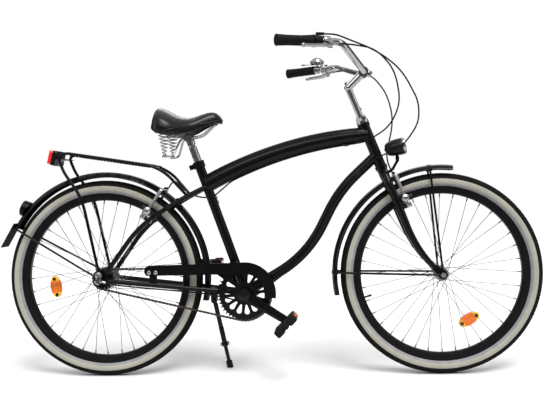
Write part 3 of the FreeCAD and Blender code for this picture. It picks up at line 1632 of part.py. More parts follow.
def fender_stays(centre, directions, plate_side):
    # Wires from eyes under the axle nuts out to the edges of the mudguard
    wires = []
    for side in (1, -1):
        eye_side = side * (plate_side + fender_stay_radius)
        reach = fender_half_width + fender_stay_radius
        eye_start = centre + across * (eye_side - fender_stay_radius)
        eye_end = centre + across * (eye_side + fender_stay_radius)
        pieces = [cylinder(eye_start, eye_end, axle_radius + 4)]
        for degrees in directions:
            start = wheel_point(centre, axle_radius + 2, degrees, eye_side)
            bend = wheel_point(centre, fender_stay_bend, degrees, eye_side)
            end = wheel_point(centre, fender_radius - fender_depth + 4, degrees, side * reach)
            pieces.append(pipe(bent_path([start, bend, end]), fender_stay_radius))
        whole = joined(pieces)
        wires.append(whole.cut(cylinder(eye_start, eye_end, axle_radius + running_clearance)))
    return wires


def front_fender():
    blade = fender_blade(front_axle, front_fender_lead, front_fender_trail)
    crown_way = unit(head_at(fork_length) - front_axle)
    lug = cylinder(front_axle + crown_way * (fender_radius - fender_wall / 2), head_at(fork_length - 10), 5)
    lug = lug.cut(fork_crown_keepout())
    blade = joined([blade, largest(lug)])
    stays = fender_stays(front_axle, front_stay_degrees, front_hub_half_width + dropout_thickness)
    return Part.makeCompound([blade] + stays)


def rear_flap():
    # A flat flap riveted over the tail of the mudguard
    top = wheel_point(rear_axle, fender_radius + flap_thickness / 2, 90 + rear_fender_trail - 3)
    tip = wheel_point(rear_axle, fender_radius + flap_flare, 90 + flap_trail)
    down = unit(tip - top)
    flap = Part.makeBox((tip - top).Length, 2 * fender_half_width + 6, flap_thickness)
    flap.translate(Vector(0, -fender_half_width - 3, -flap_thickness / 2))
    return placed(flap, top, down, across)


def rear_fender_reflector():
    way = unit(Vector(-math.cos(math.radians(fender_reflector_tilt)), 0,
                      math.sin(math.radians(fender_reflector_tilt))))
    seat = wheel_point(rear_axle, fender_radius - 8, 90 + fender_reflector_trail)
    housing = cylinder(seat, seat + way * (fender_reflector_depth + 8), fender_reflector_radius)
    drum = cylinder(rear_axle - across * 100, rear_axle + across * 100, fender_radius)
    return largest(housing.cut(drum))


def rear_fender():
    blade = fender_blade(rear_axle, rear_fender_lead, rear_fender_trail)
    drum = cylinder(rear_axle - across * 100, rear_axle + across * 100, fender_radius)
    flap = rear_flap().cut(drum)
    stays = fender_stays(rear_axle, rear_stay_degrees, rear_hub_half_width + dropout_thickness)
    return Part.makeCompound([blade, largest(flap), rear_fender_reflector()] + stays)


# Rack


def rack_rail(side):
    joint = seat_at(top_tube_seat_height) + across * (seat_tube_radius - 2)
    foot = seat_stay_upper_bend + (joint - seat_stay_upper_bend) * rack_stay_share + Vector(0, 4.6, 5.2)
    points = [mirrored(foot, side),
              mirrored(Vector(rack_front.x, rack_half_width, rack_front.z), side),
              mirrored(Vector(rack_rear.x, rack_half_width, rack_rear.z), side),
              Vector(rack_rear.x - 26, side * (rack_half_width + 2), rack_rear.z - 10),
              Vector(rack_rear.x - 8, side * (rack_half_width + 6), rack_rear.z - 62),
              Vector(-58, side * (rear_hub_half_width + 8), axle_height + fender_radius - 84),
              Vector(-5, side * (rear_hub_half_width + dropout_thickness + rack_tube_radius + 0.1),
                     axle_height + 16)]
    return pipe(bent_path(points), rack_tube_radius)


def seat_stay_tubes():
    return Part.makeCompound([pipe(seat_stay_path(side), seat_stay_radius) for side in (1, -1)])


def rear_rack():
    rails = [rack_rail(1), rack_rail(-1)]
    bars = []
    for index in range(rack_bar_count):
        share = (index + 0.5) / rack_bar_count
        place = rack_front + (rack_rear - rack_front) * share
        bars.append(cylinder(place - across * rack_half_width, place + across * rack_half_width,
                             rack_bar_radius))
    return joined(rails + bars).cut(seat_stay_tubes())


# Kickstand


def stand_axes():
    # The pin's line, and the way the leg hangs
    splay = math.radians(stand_splay_degrees)
    pin = Vector(0, math.cos(splay), math.sin(splay))
    down = Vector(0, math.sin(splay), -math.cos(splay))
    return pin, down


def ground_box():
    box = Part.makeBox(4000, 2000, 500)
    box.translate(Vector(-1500, -1000, -500))
    box.rotate(Vector(0, 0, 0), Vector(1, 0, 0), lean_degrees)
    return box


def stand_leg_end():
    _, down = stand_axes()
    length = stand_pivot.z / math.cos(math.radians(stand_splay_degrees)) + stand_foot_height
    drop = down * length
    return stand_pivot + drop + Vector(stand_foot_forward, 0, 0)


def kickstand_leg():
    pin, _ = stand_axes()
    end = stand_leg_end()
    heading = unit(end - stand_pivot)
    length = (end - stand_pivot).Length
    sleeve_end = stand_pivot + heading * (length * stand_sleeve_share)
    half = pin * stand_head_half_width
    head = cylinder(stand_pivot - half, stand_pivot + half, stand_head_radius)
    sleeve_start = stand_pivot + heading * (stand_head_radius + 3)
    leg = joined([head, cylinder(stand_pivot, sleeve_start, stand_leg_radius),
                  cylinder(sleeve_start, sleeve_end, stand_sleeve_radius),
                  cylinder(sleeve_end - heading * 10, end, stand_leg_radius)])
    leg = leg.cut(cylinder(stand_pivot - pin * 20, stand_pivot + pin * 20,
                           stand_pin_radius + running_clearance))
    foot_start = end - heading * (stand_foot_height * 2.2)
    foot = cylinder(foot_start, end + heading * 20, stand_foot_radius)
    leg = leg.cut(cylinder(foot_start, end + heading * 60, stand_foot_radius * 2))
    return Part.makeCompound([largest(leg), largest(foot.cut(ground_box()))])


def kickstand_bracket():
    # Two ears under the chain stay hold the pin, with a plate that clears the mudguard
    pin, _ = stand_axes()
    top = chain_stay_height(stand_pivot.x)
    inside = stand_head_half_width + running_gap
    ears = []
    for way in (1, -1):
        middle = stand_pivot + pin * (way * (inside + stand_ear_thickness / 2))
        half = pin * (stand_ear_thickness / 2)
        ear = cylinder(middle - half, middle + half, stand_head_radius)
        block = Part.makeBox(2 * stand_head_radius, stand_ear_thickness, stand_ear_height)
        block.translate(Vector(-stand_head_radius, -stand_ear_thickness / 2, 0))
        ears.append(joined([ear, placed(block, middle, Vector(1, 0, 0), pin)]))
    cap_low = stand_pivot.z + 20
    cap = Part.makeBox(stand_cap_length, stand_cap_width, top - cap_low)
    cap.translate(Vector(stand_pivot.x - stand_cap_length / 2, stand_pivot.y - stand_cap_width * 0.63,
                         cap_low))
    whole = joined(ears + [cap])
    room = cylinder(stand_pivot - pin * inside, stand_pivot + pin * inside, stand_head_radius + 1.5)
    whole = whole.cut(room).cut(pipe(chain_stay_path(1), chain_stay_radius)).cut(chain_stay_bridge())
    fender_side = across * (fender_half_width + running_gap)
    whole = whole.cut(cylinder(rear_axle - fender_side, rear_axle + fender_side,
                               fender_radius + running_gap))
    reach = pin * (inside + stand_ear_thickness + 1)
    pin_rod = cylinder(stand_pivot - reach, stand_pivot + reach, stand_pin_radius)
    return largest(joined([largest(whole), pin_rod]))


# Rear light


def tail_light_axes():
    tilt = math.radians(tail_light_tilt)
    back = Vector(-math.cos(tilt), 0, math.sin(tilt))
    return back, Vector(math.sin(tilt), 0, math.cos(tilt))


def tail_light_block(start, depth, trim):
    back, _ = tail_light_axes()
    block = Part.makeBox(depth, tail_light_width - trim, tail_light_height - trim)
    block.translate(Vector(start, -(tail_light_width - trim) / 2, -(tail_light_height - trim) / 2))
    edges = [edge for edge in block.Edges if abs(edge.tangentAt(edge.FirstParameter).x) > 0.9]
    block = block.makeFillet(tail_light_corner, edges)
    return placed(block, tail_light_place, back, across * -1)


def tail_light():
    body = tail_light_block(0, tail_light_depth, 0)
    shelf = Part.makeBox(tail_light_shelf, 2 * rack_half_width, 3)
    shelf.translate(Vector(tail_light_place.x - 2, -rack_half_width, tail_light_place.z - 4))
    shelf = shelf.cut(rear_rack_solid).cut(body)
    return joined([body, largest(shelf)])


def tail_light_lens():
    return tail_light_block(tail_light_depth, tail_lens_depth, 3)


# Cables


def cable(path, name):
    solid = pipe(path, cable_radius)
    share = solid.Volume / (math.pi * cable_radius ** 2 * path.Length)
    bends = [edge.Curve.Radius for edge in path.Edges if hasattr(edge.Curve, "Radius")]
    print("cable", name, "length", round(path.Length), "volume share", round(share, 4), "least bend",
          round(min(bends), 1))
    return solid


def lever_cable_start(side, place):
    outward, front, _ = lever_axes(side)
    return lever_pivot(side, place) - front * 6 - outward * 28


def free_ends(points):
    # Both ends drawn in by a hair, so that they clear what holds them
    first = points[0] + unit(points[1] - points[0]) * cable_touch_gap
    last = points[-1] + unit(points[-2] - points[-1]) * cable_touch_gap
    return [first] + points[1:-1] + [last]


def top_tube_under(share):
    edge = top_tube_path().Edges[0]
    first = edge.FirstParameter
    parameter = first + (edge.LastParameter - first) * share
    place = edge.valueAt(parameter)
    heading = edge.tangentAt(parameter)
    below = unit(Vector(heading.z, 0, -heading.x))
    if below.z > 0:
        below = below * -1
    drop = math.sqrt((top_tube_radius + cable_radius + 0.2) ** 2 - top_cable_side ** 2)
    return place + below * drop - across * top_cable_side


def shift_cable_stop():
    run = head_at(down_tube_head_height) - down_tube_upper_bend
    return down_tube_upper_bend + run * shift_stop_share - across * (down_tube_radius + cable_radius + 0.5)


def handlebar_cables():
    start = lever_cable_start(-1, right_lever_place)
    stop = top_tube_under(top_cable_start)
    heading = unit(stop - top_tube_under(top_cable_start + 0.01))
    brake = [start, start + bar_inward(-1) * 40, bar_clamp + Vector(30, -185, 47),
             bar_clamp + Vector(96, -105, -10),
             bar_clamp + Vector(115, -70, -110), bar_clamp + Vector(81, -42, -185),
             stop + heading * 64 - across * 22, stop + heading * 24, stop]
    housing = right_grip_length + 2 * control_gap + shifter_length + shifter_housing_length / 2
    spout = bar_at(-1, housing) + Vector(0, 0, shifter_spout_height) + bar_inward(-1) * shifter_spout_length
    shift_stop = shift_cable_stop()
    shift_heading = unit(shift_stop - Vector(down_tube_upper_bend.x, shift_stop.y, down_tube_upper_bend.z))
    shift = [spout, spout + bar_inward(-1) * 40, bar_clamp + Vector(34, -200, 37),
             bar_clamp + Vector(116, -132, -15),
             bar_clamp + Vector(171, -84, -110), bar_clamp + Vector(173, -62, -175),
             bar_clamp + Vector(124, -44, -248), shift_stop + shift_heading * 56, shift_stop]
    cables = []
    for name, points in (("rear brake", brake), ("gear", shift)):
        cables.append(cable(bent_path(free_ends(points)), name))
    return Part.makeCompound(cables)


def front_brake_cable():
    start = lever_cable_start(1, left_lever_place)
    tip = front_stud_point(1) + head_up * (brake_arm_length + brake_arm_tip_radius + 1) - across * 5
    points = [start, start + bar_inward(1) * 40, bar_clamp + Vector(35, 190, 23),
              bar_clamp + Vector(85, 105, -60),
              bar_clamp + Vector(102, 56, -155), tip + head_up * 60, tip]
    return cable(bent_path(free_ends(points)), "front brake")


def frame_cables():
    outward, _ = rear_brake_axes()
    tip = rear_stud_point(1) + outward * (brake_arm_length + brake_arm_tip_radius + 1.5) - across * 5
    run_end = top_tube_under(top_cable_end)
    run_middle = top_tube_under((top_cable_start + top_cable_end) / 2)
    along = Part.Arc(top_tube_under(top_cable_start), run_middle, run_end).toShape()
    heading = unit(along.tangentAt(along.LastParameter))
    joint = seat_at(top_tube_seat_height)
    points = [run_end, run_end + heading * 30, joint + Vector(16, 29, -35), joint + Vector(-22, 20, -38),
              joint + Vector(-67, 12, -21), tip + outward * 38, tip]
    brake = Part.Wire([along] + bent_path(points).Edges)
    side = shift_cable_stop().y
    spout = gear_spout()
    box_end = rear_axle - across * (gear_box_start() + 12) + spout
    under_stay = chain_stay_radius + cable_radius + 1.5
    shift_points = [shift_cable_stop(), Vector(down_tube_upper_bend.x, side, down_tube_upper_bend.z),
                    Vector(down_tube_lower_bend.x, side, down_tube_lower_bend.z),
                    Vector(bottom_bracket.x + 44, side, bottom_bracket.z - 4),
                    Vector(bottom_bracket.x, -24,
                           bottom_bracket.z - bottom_bracket_radius - cable_radius - 9),
                    Vector(chain_stay_waist.x, -chain_stay_side, chain_stay_waist.z - under_stay),
                    Vector(110, -57, chain_stay_height(110) - under_stay),
                    box_end + spout * 1.4, box_end + unit(spout) * cable_touch_gap]
    return Part.makeCompound([cable(brake, "rear brake on the frame"),
                              cable(bent_path(shift_points), "gear on the frame")])


def gear_spout():
    # The way the gear cable enters the box on the axle end
    return Vector(22, 0, -6)


def gear_box_start():
    return rear_hub_half_width + dropout_thickness + 2 * fender_stay_radius + nut_height + axle_end_length


def rear_axle_set():
    axle = wheel_axle(rear_axle, rear_hub_half_width, chain_line + 8 + running_gap,
                      rear_hub_left_end + running_gap)
    return Part.makeCompound([axle, gear_box(gear_box_start())])


def front_axle_set():
    end = front_hub_half_width - hub_end_length
    return wheel_axle(front_axle, front_hub_half_width, end + running_gap, end + running_gap)


def rear_hub():
    return hub(rear_axle, rear_hub_flange_radius, rear_hub_body_radius, rear_hub_flange_offset,
               rear_hub_flange_offset, chain_line - 8 - running_gap, rear_hub_left_end)


def front_hub():
    end = front_hub_half_width - hub_end_length
    return hub(front_axle, front_hub_flange_radius, front_hub_body_radius, front_hub_flange_offset,
               front_hub_flange_offset, end, end)


rear_rack_solid = rear_rack()

nodes = {
    "head_tube": head_tube,
    "top_tube": top_tube,
    "down_tube": down_tube,
    "seat_tube": seat_tube,
    "seat_stays": seat_stays,
    "chain_stays": chain_stays,
    "seat_clamp": seat_clamp,
    "rear_fender": rear_fender,
    "rear_rack": lambda: rear_rack_solid,
    "tail_light": tail_light,
    "tail_light_lens": tail_light_lens,
    "chain_guard": chain_guard,
    "kickstand_bracket": kickstand_bracket,
    "rear_axle": rear_axle_set,
    "frame_cables": frame_cables,
    "chain": chain,
    "kickstand_leg": kickstand_leg,
    "rear_brake_arm_left": lambda: rear_brake_arm(1),
    "rear_brake_arm_right": lambda: rear_brake_arm(-1),
    "rear_sprocket": rear_sprocket,
    "rear_tyre": lambda: tyre(rear_axle),
    "rear_rim": lambda: rim(rear_axle, rear_valve_degrees),
    "rear_hub": rear_hub,
    "rear_spokes": lambda: spokes(rear_axle, rear_hub_flange_radius, rear_hub_flange_offset),
    "rear_wheel_reflector": lambda: spoke_reflector(rear_axle, rear_reflector_degrees,
                                                    rear_reflector_half_depth),
    "crank_spindle": crank_spindle,
    "crank_arm_right": lambda: crank_arm(-1),
    "crank_arm_left": lambda: crank_arm(1),
    "chainring": chainring,
    "pedal_right": lambda: pedal(-1, right_pedal_tilt),
    "pedal_left": lambda: pedal(1, left_pedal_tilt),
    "seat_post": seat_post,
    "saddle_rails": saddle_rails,
    "saddle_springs": lambda: Part.makeCompound([saddle_spring(1), saddle_spring(-1)]),
    "saddle": saddle,
    "fork": fork,
    "stem": stem,
    "handlebar": handlebar,
    "grips": grips,
    "brake_lever_clamps": brake_lever_clamps,
    "front_fender": front_fender,
    "front_axle": front_axle_set,
    "front_brake_cable": front_brake_cable,
    "headlight_bracket": headlight_bracket,
    "headlight": headlight,
    "headlight_lens": headlight_lens,
    "bell": bell,
    "bell_lever": bell_lever,
    "shifter_housing": shifter_housing,
    "shifter_twist": shifter_twist,
    "front_tyre": lambda: tyre(front_axle),
    "front_rim": lambda: rim(front_axle, front_valve_degrees),
    "front_hub": front_hub,
    "front_spokes": lambda: spokes(front_axle, front_hub_flange_radius, front_hub_flange_offset),
    "front_wheel_reflector": lambda: spoke_reflector(front_axle, front_reflector_degrees,
                                                     front_reflector_half_depth),
    "front_brake_arm_left": lambda: front_brake_arm(1),
    "front_brake_arm_right": lambda: front_brake_arm(-1),
    "brake_lever_left": lambda: brake_lever(1, left_lever_place),
    "brake_lever_right": lambda: brake_lever(-1, right_lever_place),
    "handlebar_cables": handlebar_cables,
}

shapes = {}
for name, build in nodes.items():
    shapes[name] = build()
print("spring gap", round(spring_least_gap(), 2))

lean = FreeCAD.Placement(Vector(0, 0, 0), FreeCAD.Rotation(Vector(1, 0, 0), -lean_degrees))
for shape in shapes.values():
    shape.Placement = lean.multiply(shape.Placement)
whole = FreeCAD.BoundBox()
for shape in shapes.values():
    whole.add(shape.optimalBoundingBox(False))
centre = Vector(whole.Center.x, whole.Center.y, whole.ZMin)
shift = FreeCAD.Placement(centre * -1, FreeCAD.Rotation())
os.makedirs("parts", exist_ok=True)
for name, shape in shapes.items():
    shape.Placement = shift.multiply(shape.Placement)
    shape.exportStep("parts/" + name + ".step")
print("centre", centre, "size", whole.XLength, whole.YLength, whole.ZLength)
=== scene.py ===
import json
import math

import bpy
from mathutils import Matrix, Vector

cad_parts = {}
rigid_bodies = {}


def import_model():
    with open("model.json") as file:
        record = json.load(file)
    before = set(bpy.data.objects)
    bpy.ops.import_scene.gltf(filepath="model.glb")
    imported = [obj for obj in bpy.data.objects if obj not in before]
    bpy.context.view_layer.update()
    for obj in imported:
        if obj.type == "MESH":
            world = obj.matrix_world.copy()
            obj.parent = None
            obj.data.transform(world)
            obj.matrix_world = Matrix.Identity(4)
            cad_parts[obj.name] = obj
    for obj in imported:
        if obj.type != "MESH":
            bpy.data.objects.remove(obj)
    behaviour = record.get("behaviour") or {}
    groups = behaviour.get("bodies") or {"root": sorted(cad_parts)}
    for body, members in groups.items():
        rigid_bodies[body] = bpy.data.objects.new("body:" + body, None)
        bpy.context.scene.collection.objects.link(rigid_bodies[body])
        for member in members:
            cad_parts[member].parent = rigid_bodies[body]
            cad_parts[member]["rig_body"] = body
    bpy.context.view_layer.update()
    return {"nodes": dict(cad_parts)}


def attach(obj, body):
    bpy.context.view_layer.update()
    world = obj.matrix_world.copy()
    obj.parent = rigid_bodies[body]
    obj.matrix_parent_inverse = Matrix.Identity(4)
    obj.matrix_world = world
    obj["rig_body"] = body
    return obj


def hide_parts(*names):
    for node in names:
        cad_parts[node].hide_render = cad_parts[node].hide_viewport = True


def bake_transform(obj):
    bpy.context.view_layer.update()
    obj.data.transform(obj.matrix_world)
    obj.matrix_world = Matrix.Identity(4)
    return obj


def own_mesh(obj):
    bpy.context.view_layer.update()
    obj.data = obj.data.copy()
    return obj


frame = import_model()
nodes = frame["nodes"]
print("frame loaded:", len(nodes), "nodes")

# the bicycle is drawn upright in millimetres from the ground under the rear axle, then leans on its stand
mm = 0.001
stance = {"lean": 4.0, "centre": (550.525, 73.846, -0.06)}
leanTurn = Matrix.Rotation(-math.radians(stance["lean"]), 4, "X")
toRow = Matrix.Translation(-Vector(stance["centre"]) * mm) @ leanTurn
fromRow = toRow.inverted()
leanSpin = leanTurn.to_3x3()

# places that several pieces share
layout = {"wheelUp": 331.0, "wheelbase": 1124.0, "crank": (476.2, 0, 277), "headDegrees": 68.6,
          "forkOffset": 47.0, "seatDegrees": 19.2, "saddleAlong": 552.0, "kneeAlong": 684.0,
          "stemReach": (50.4, 0, 49.3), "barEnd": (-263, 343, 53), "barWay": (188, -93, 5)}
across = Vector((0, 1, 0))
rearAxle = Vector((0, 0, layout["wheelUp"]))
frontAxle = Vector((layout["wheelbase"], 0, layout["wheelUp"]))
crankAxle = Vector(layout["crank"])
headAngle = math.radians(layout["headDegrees"])
headUp = Vector((-math.cos(headAngle), 0, math.sin(headAngle)))
headAhead = Vector((math.sin(headAngle), 0, math.cos(headAngle)))
headFoot = frontAxle - headAhead * layout["forkOffset"]
seatAngle = math.radians(layout["seatDegrees"])
seatUp = Vector((-math.sin(seatAngle), 0, math.cos(seatAngle)))
seatAhead = Vector((math.cos(seatAngle), 0, math.sin(seatAngle)))
saddleClamp = crankAxle + seatUp * layout["saddleAlong"]
stemKnee = headFoot + headUp * layout["kneeAlong"]
barClamp = stemKnee + Vector(layout["stemReach"])
mudguard = {"crown": 359.0, "edge": 342.0, "halfWidth": 29.0}
spokeLens = {"reach": 178.0, "rear": 189, "front": -60}


def wheelPoint(centre, radius, degrees, side=0.0):
    angle = math.radians(degrees)
    return centre + Vector((math.cos(angle) * radius, side, math.sin(angle) * radius))


def barInward(side):
    forward, aside, up = layout["barWay"]
    return Vector((forward, aside * side, up)).normalized()


def barPoint(side, place):
    # a point on the grip's straight, counted inwards from the bar's end
    forward, aside, up = layout["barEnd"]
    return barClamp + Vector((forward, aside * side, up)) + barInward(side) * place


def sidePoint(place):
    # a point on the bicycle's middle plane, given by its length and height
    return Vector((place[0], 0, place[1]))


# shader maths: a node socket that takes part in Python sums
class Wire:
    def __init__(self, tree, socket=None):
        self.tree = tree
        self.socket = socket

    def node(self, kind, settings, sockets, output=0):
        made = self.tree.nodes.new(kind)
        for name, value in settings.items():
            setattr(made, name, value)
        for key, value in sockets.items():
            if isinstance(value, Wire):
                self.tree.links.new(value.socket, made.inputs[key])
            else:
                made.inputs[key].default_value = value
        return Wire(self.tree, made.outputs[output])

    def math(self, operation, first, second=0.0):
        return self.node("ShaderNodeMath", {"operation": operation}, {0: first, 1: second})

    def __add__(self, other):
        return self.math("ADD", self, other)

    def __radd__(self, other):
        return self.math("ADD", other, self)

    def __sub__(self, other):
        return self.math("SUBTRACT", self, other)

    def __rsub__(self, other):
        return self.math("SUBTRACT", other, self)

    def __mul__(self, other):
        return self.math("MULTIPLY", self, other)

    def __gt__(self, other):
        return self.math("GREATER_THAN", self, other)

    def __lt__(self, other):
        return self.math("LESS_THAN", self, other)

    def __abs__(self):
        return self.math("ABSOLUTE", self)


def between(value, low, high):
    return (value > low) * (value < high)


def mixColour(tree, share, first, second):
    return tree.node("ShaderNodeMix", {"data_type": "RGBA"}, {0: share, 6: first, 7: second}, 2)


def rgba(red, green, blue):
    return (red, green, blue, 1.0)


def places(tree, location=(0, 0, 0), rotation=(0, 0, 0), scale=(1, 1, 1)):
    own = tree.node("ShaderNodeTexCoord", {}, {}, 3)
    return tree.node("ShaderNodeMapping", {}, {"Vector": own, "Location": location, "Rotation": rotation,
                                               "Scale": scale})


def axes(tree, vector):
    split = tree.node("ShaderNodeSeparateXYZ", {}, {"Vector": vector})
    return [Wire(tree.tree, output) for output in split.socket.node.outputs]


def upright(tree, origin=(0, 0, 0)):
    # metres in the upright bicycle, counted from a point given in millimetres
    turn = Matrix.Rotation(math.radians(stance["lean"]), 4, "X")
    shift = turn @ (Vector(stance["centre"]) * mm) - Vector(origin) * mm
    return places(tree, tuple(shift), (math.radians(stance["lean"]), 0, 0))


def noise(tree, vector, scale, detail=3.0, rough=0.6):
    return tree.node("ShaderNodeTexNoise", {}, {"Vector": vector, "Scale": scale, "Detail": detail,
                                                "Roughness": rough})


def grain(tree, vector, scale):
    return tree.node("ShaderNodeTexVoronoi", {}, {"Vector": vector, "Scale": scale})


def bump(tree, height, strength, distance=0.001):
    return tree.node("ShaderNodeBump", {}, {"Height": height, "Strength": strength, "Distance": distance})


def makeMaterial(name, fixed, varied=None):
    material = bpy.data.materials.new(name)
    material.use_nodes = True
    shader = material.node_tree.nodes["Principled BSDF"]
    for key, value in fixed.items():
        shader.inputs[key].default_value = value
    if varied:
        for key, wire in varied(Wire(material.node_tree)).items():
            material.node_tree.links.new(wire.socket, shader.inputs[key])
    return material


# where colours change, in metres on the upright bicycle
marks = {"flap": -0.303, "cream": (0.2965, 0.3125), "stripe": (0.2885, 0.2965), "lensMiddle": 0.02,
         "tailStrip": 0.011, "shoe": 0.0303, "lampUp": 0.745}


# finishes
def cloudedLook(scale, gloss, dark, light, fine=None):
    # clouds in colour and gloss, and where fine is given, a grain of that scale, detail, strength and depth
    def look(tree):
        own = places(tree)
        cloud = noise(tree, own, scale)
        made = {"Roughness": gloss[0] + cloud * gloss[1],
                "Base Color": mixColour(tree, cloud, rgba(*dark), rgba(*light))}
        if fine:
            fineScale, detail, strength, depth = fine
            made["Normal"] = bump(tree, noise(tree, own, fineScale, detail), strength, depth)
        return made
    return look


softBlack = (0.003, 0.003, 0.0035), (0.009, 0.009, 0.01)
paintLook = cloudedLook(18.0, (0.1, 0.12), (0.0015, 0.0015, 0.002), (0.005, 0.005, 0.006),
                        (420.0, 1.0, 0.03, 0.001))
spokeLook = cloudedLook(60.0, (0.4, 0.2), (0.06, 0.06, 0.062), (0.14, 0.14, 0.143))
chainLook = cloudedLook(90.0, (0.22, 0.3), (0.01, 0.009, 0.0075), (0.13, 0.115, 0.085))
rimLook = cloudedLook(25.0, (0.24, 0.14), *softBlack, (700.0, 1.0, 0.04, 0.001))
rubberLook = cloudedLook(30.0, (0.5, 0.2), (0.003,) * 3, (0.009,) * 3, (900.0, 2.0, 0.2, 0.0004))
plasticLook = cloudedLook(22.0, (0.16, 0.14), *softBlack, (1200.0, 1.0, 0.05, 0.0003))


def rearGuardLook(tree):
    # the flap behind the wheel is matt, the blade before it is glossy
    look = paintLook(tree)
    along, _, _ = axes(tree, upright(tree))
    look["Roughness"] = look["Roughness"] + (along < marks["flap"]) * 0.6
    return look


def chromeLook(tree):
    haze = noise(tree, places(tree), 35.0)
    streak = noise(tree, places(tree, scale=(1, 9, 1)), 260.0)
    return {"Roughness": 0.03 + haze * 0.07 + streak * 0.03,
            "Base Color": mixColour(tree, haze, rgba(0.3, 0.3, 0.31), rgba(0.46, 0.46, 0.47))}


def silverLook(tree):
    cloud = noise(tree, places(tree), 45.0)
    brush = noise(tree, places(tree, scale=(1, 1, 14)), 300.0)
    return {"Roughness": 0.2 + cloud * 0.14 + brush * 0.08, "Normal": bump(tree, brush, 0.05),
            "Base Color": mixColour(tree, cloud, rgba(0.26, 0.26, 0.27), rgba(0.42, 0.42, 0.43))}


def leatherLook(tree):
    own = places(tree)
    pebble = grain(tree, own, 520.0)
    crease = noise(tree, own, 26.0, 5.0)
    return {"Roughness": 0.15 + crease * 0.12 + pebble * 0.06,
            "Normal": bump(tree, pebble * 0.6 + crease * 0.6, 0.16, 0.0008),
            "Base Color": mixColour(tree, crease, rgba(0.003, 0.003, 0.003), rgba(0.01, 0.0095, 0.0095))}


def tyreLook(origin):
    # black tread, a ribbed cream wall and a grey line beside the rim
    def look(tree):
        along, _, up = axes(tree, upright(tree, origin))
        radius = tree.math("SQRT", along * along + up * up)
        own = places(tree)
        dust = noise(tree, own, 40.0)
        scuff = noise(tree, own, 9.0, 5.0)
        fine = noise(tree, own, 800.0, 2.0)
        cream = between(radius, *marks["cream"])
        stripe = between(radius, *marks["stripe"])
        ribs = tree.math("SINE", radius * 4200.0) * cream
        black = mixColour(tree, dust, rgba(0.004, 0.004, 0.004), rgba(0.011, 0.011, 0.0105))
        pale = mixColour(tree, dust * 0.5 + scuff * 0.5, rgba(0.26, 0.25, 0.21), rgba(0.4, 0.385, 0.33))
        grey = mixColour(tree, dust, rgba(0.16, 0.16, 0.17), rgba(0.3, 0.3, 0.31))
        banded = mixColour(tree, stripe, mixColour(tree, cream, black, pale), grey)
        return {"Base Color": banded, "Roughness": 0.7 - stripe * 0.35 + dust * 0.1,
                "Normal": bump(tree, fine * 0.6 + ribs * 0.5, 0.3, 0.0005)}
    return look


def lensLook(dark, light, scale):
    def look(tree):
        prism = grain(tree, places(tree), scale)
        return {"Base Color": mixColour(tree, prism, dark, light), "Roughness": 0.1 + prism * 0.2,
                "Normal": bump(tree, prism, 0.5, 0.0006)}
    return look


def spokeLensLook(axle, degrees):
    # orange in the middle and yellow towards both round ends
    centre = wheelPoint(axle, spokeLens["reach"], degrees)

    def look(tree):
        along, _, up = axes(tree, upright(tree, centre))
        angle = math.radians(degrees)
        reach = abs(up * math.cos(angle) - along * math.sin(angle))
        ends = between(reach, marks["lensMiddle"], 1.0)
        prism = grain(tree, places(tree), 330.0)
        orange = mixColour(tree, prism, rgba(0.5, 0.08, 0.002), rgba(0.75, 0.17, 0.005))
        yellow = mixColour(tree, prism, rgba(0.75, 0.33, 0.006), rgba(0.9, 0.48, 0.012))
        return {"Base Color": mixColour(tree, ends, orange, yellow), "Roughness": 0.12 + prism * 0.2,
                "Normal": bump(tree, prism, 0.5, 0.0006)}
    return look


def tailLensLook(tree):
    # a paler strip runs down the middle of the rear lens
    _, side, _ = axes(tree, upright(tree))
    strip = abs(side) < marks["tailStrip"]
    prism = grain(tree, places(tree), 260.0)
    red = mixColour(tree, prism, rgba(0.5, 0.006, 0.006), rgba(0.85, 0.03, 0.02))
    pale = mixColour(tree, prism, rgba(0.8, 0.1, 0.08), rgba(0.95, 0.22, 0.18))
    return {"Base Color": mixColour(tree, strip, red, pale), "Roughness": 0.08 + prism * 0.16,
            "Normal": bump(tree, prism, 0.4, 0.0006)}


def brakeLook(tree):
    # the shoes lie nearer to the rim than the arms that carry them
    _, side, _ = axes(tree, upright(tree))
    shoe = abs(side) < marks["shoe"]
    metal = silverLook(tree)
    fine = noise(tree, places(tree), 500.0)
    return {"Base Color": mixColour(tree, shoe, metal["Base Color"], rgba(0.008, 0.008, 0.008)),
            "Roughness": metal["Roughness"] + shoe * (0.3 + fine * 0.1), "Metallic": 1.0 - shoe}


def glassLook(tree):
    return {"Roughness": 0.03 + noise(tree, places(tree), 60.0) * 0.08}


def bowlLook(tree):
    # flutes run round the lamp's mirror
    _, side, up = axes(tree, upright(tree))
    flute = tree.math("SINE", tree.math("ARCTAN2", side, up - marks["lampUp"]) * 24.0)
    haze = noise(tree, places(tree), 80.0)
    return {"Roughness": 0.05 + haze * 0.08, "Normal": bump(tree, flute, 0.3, 0.001)}


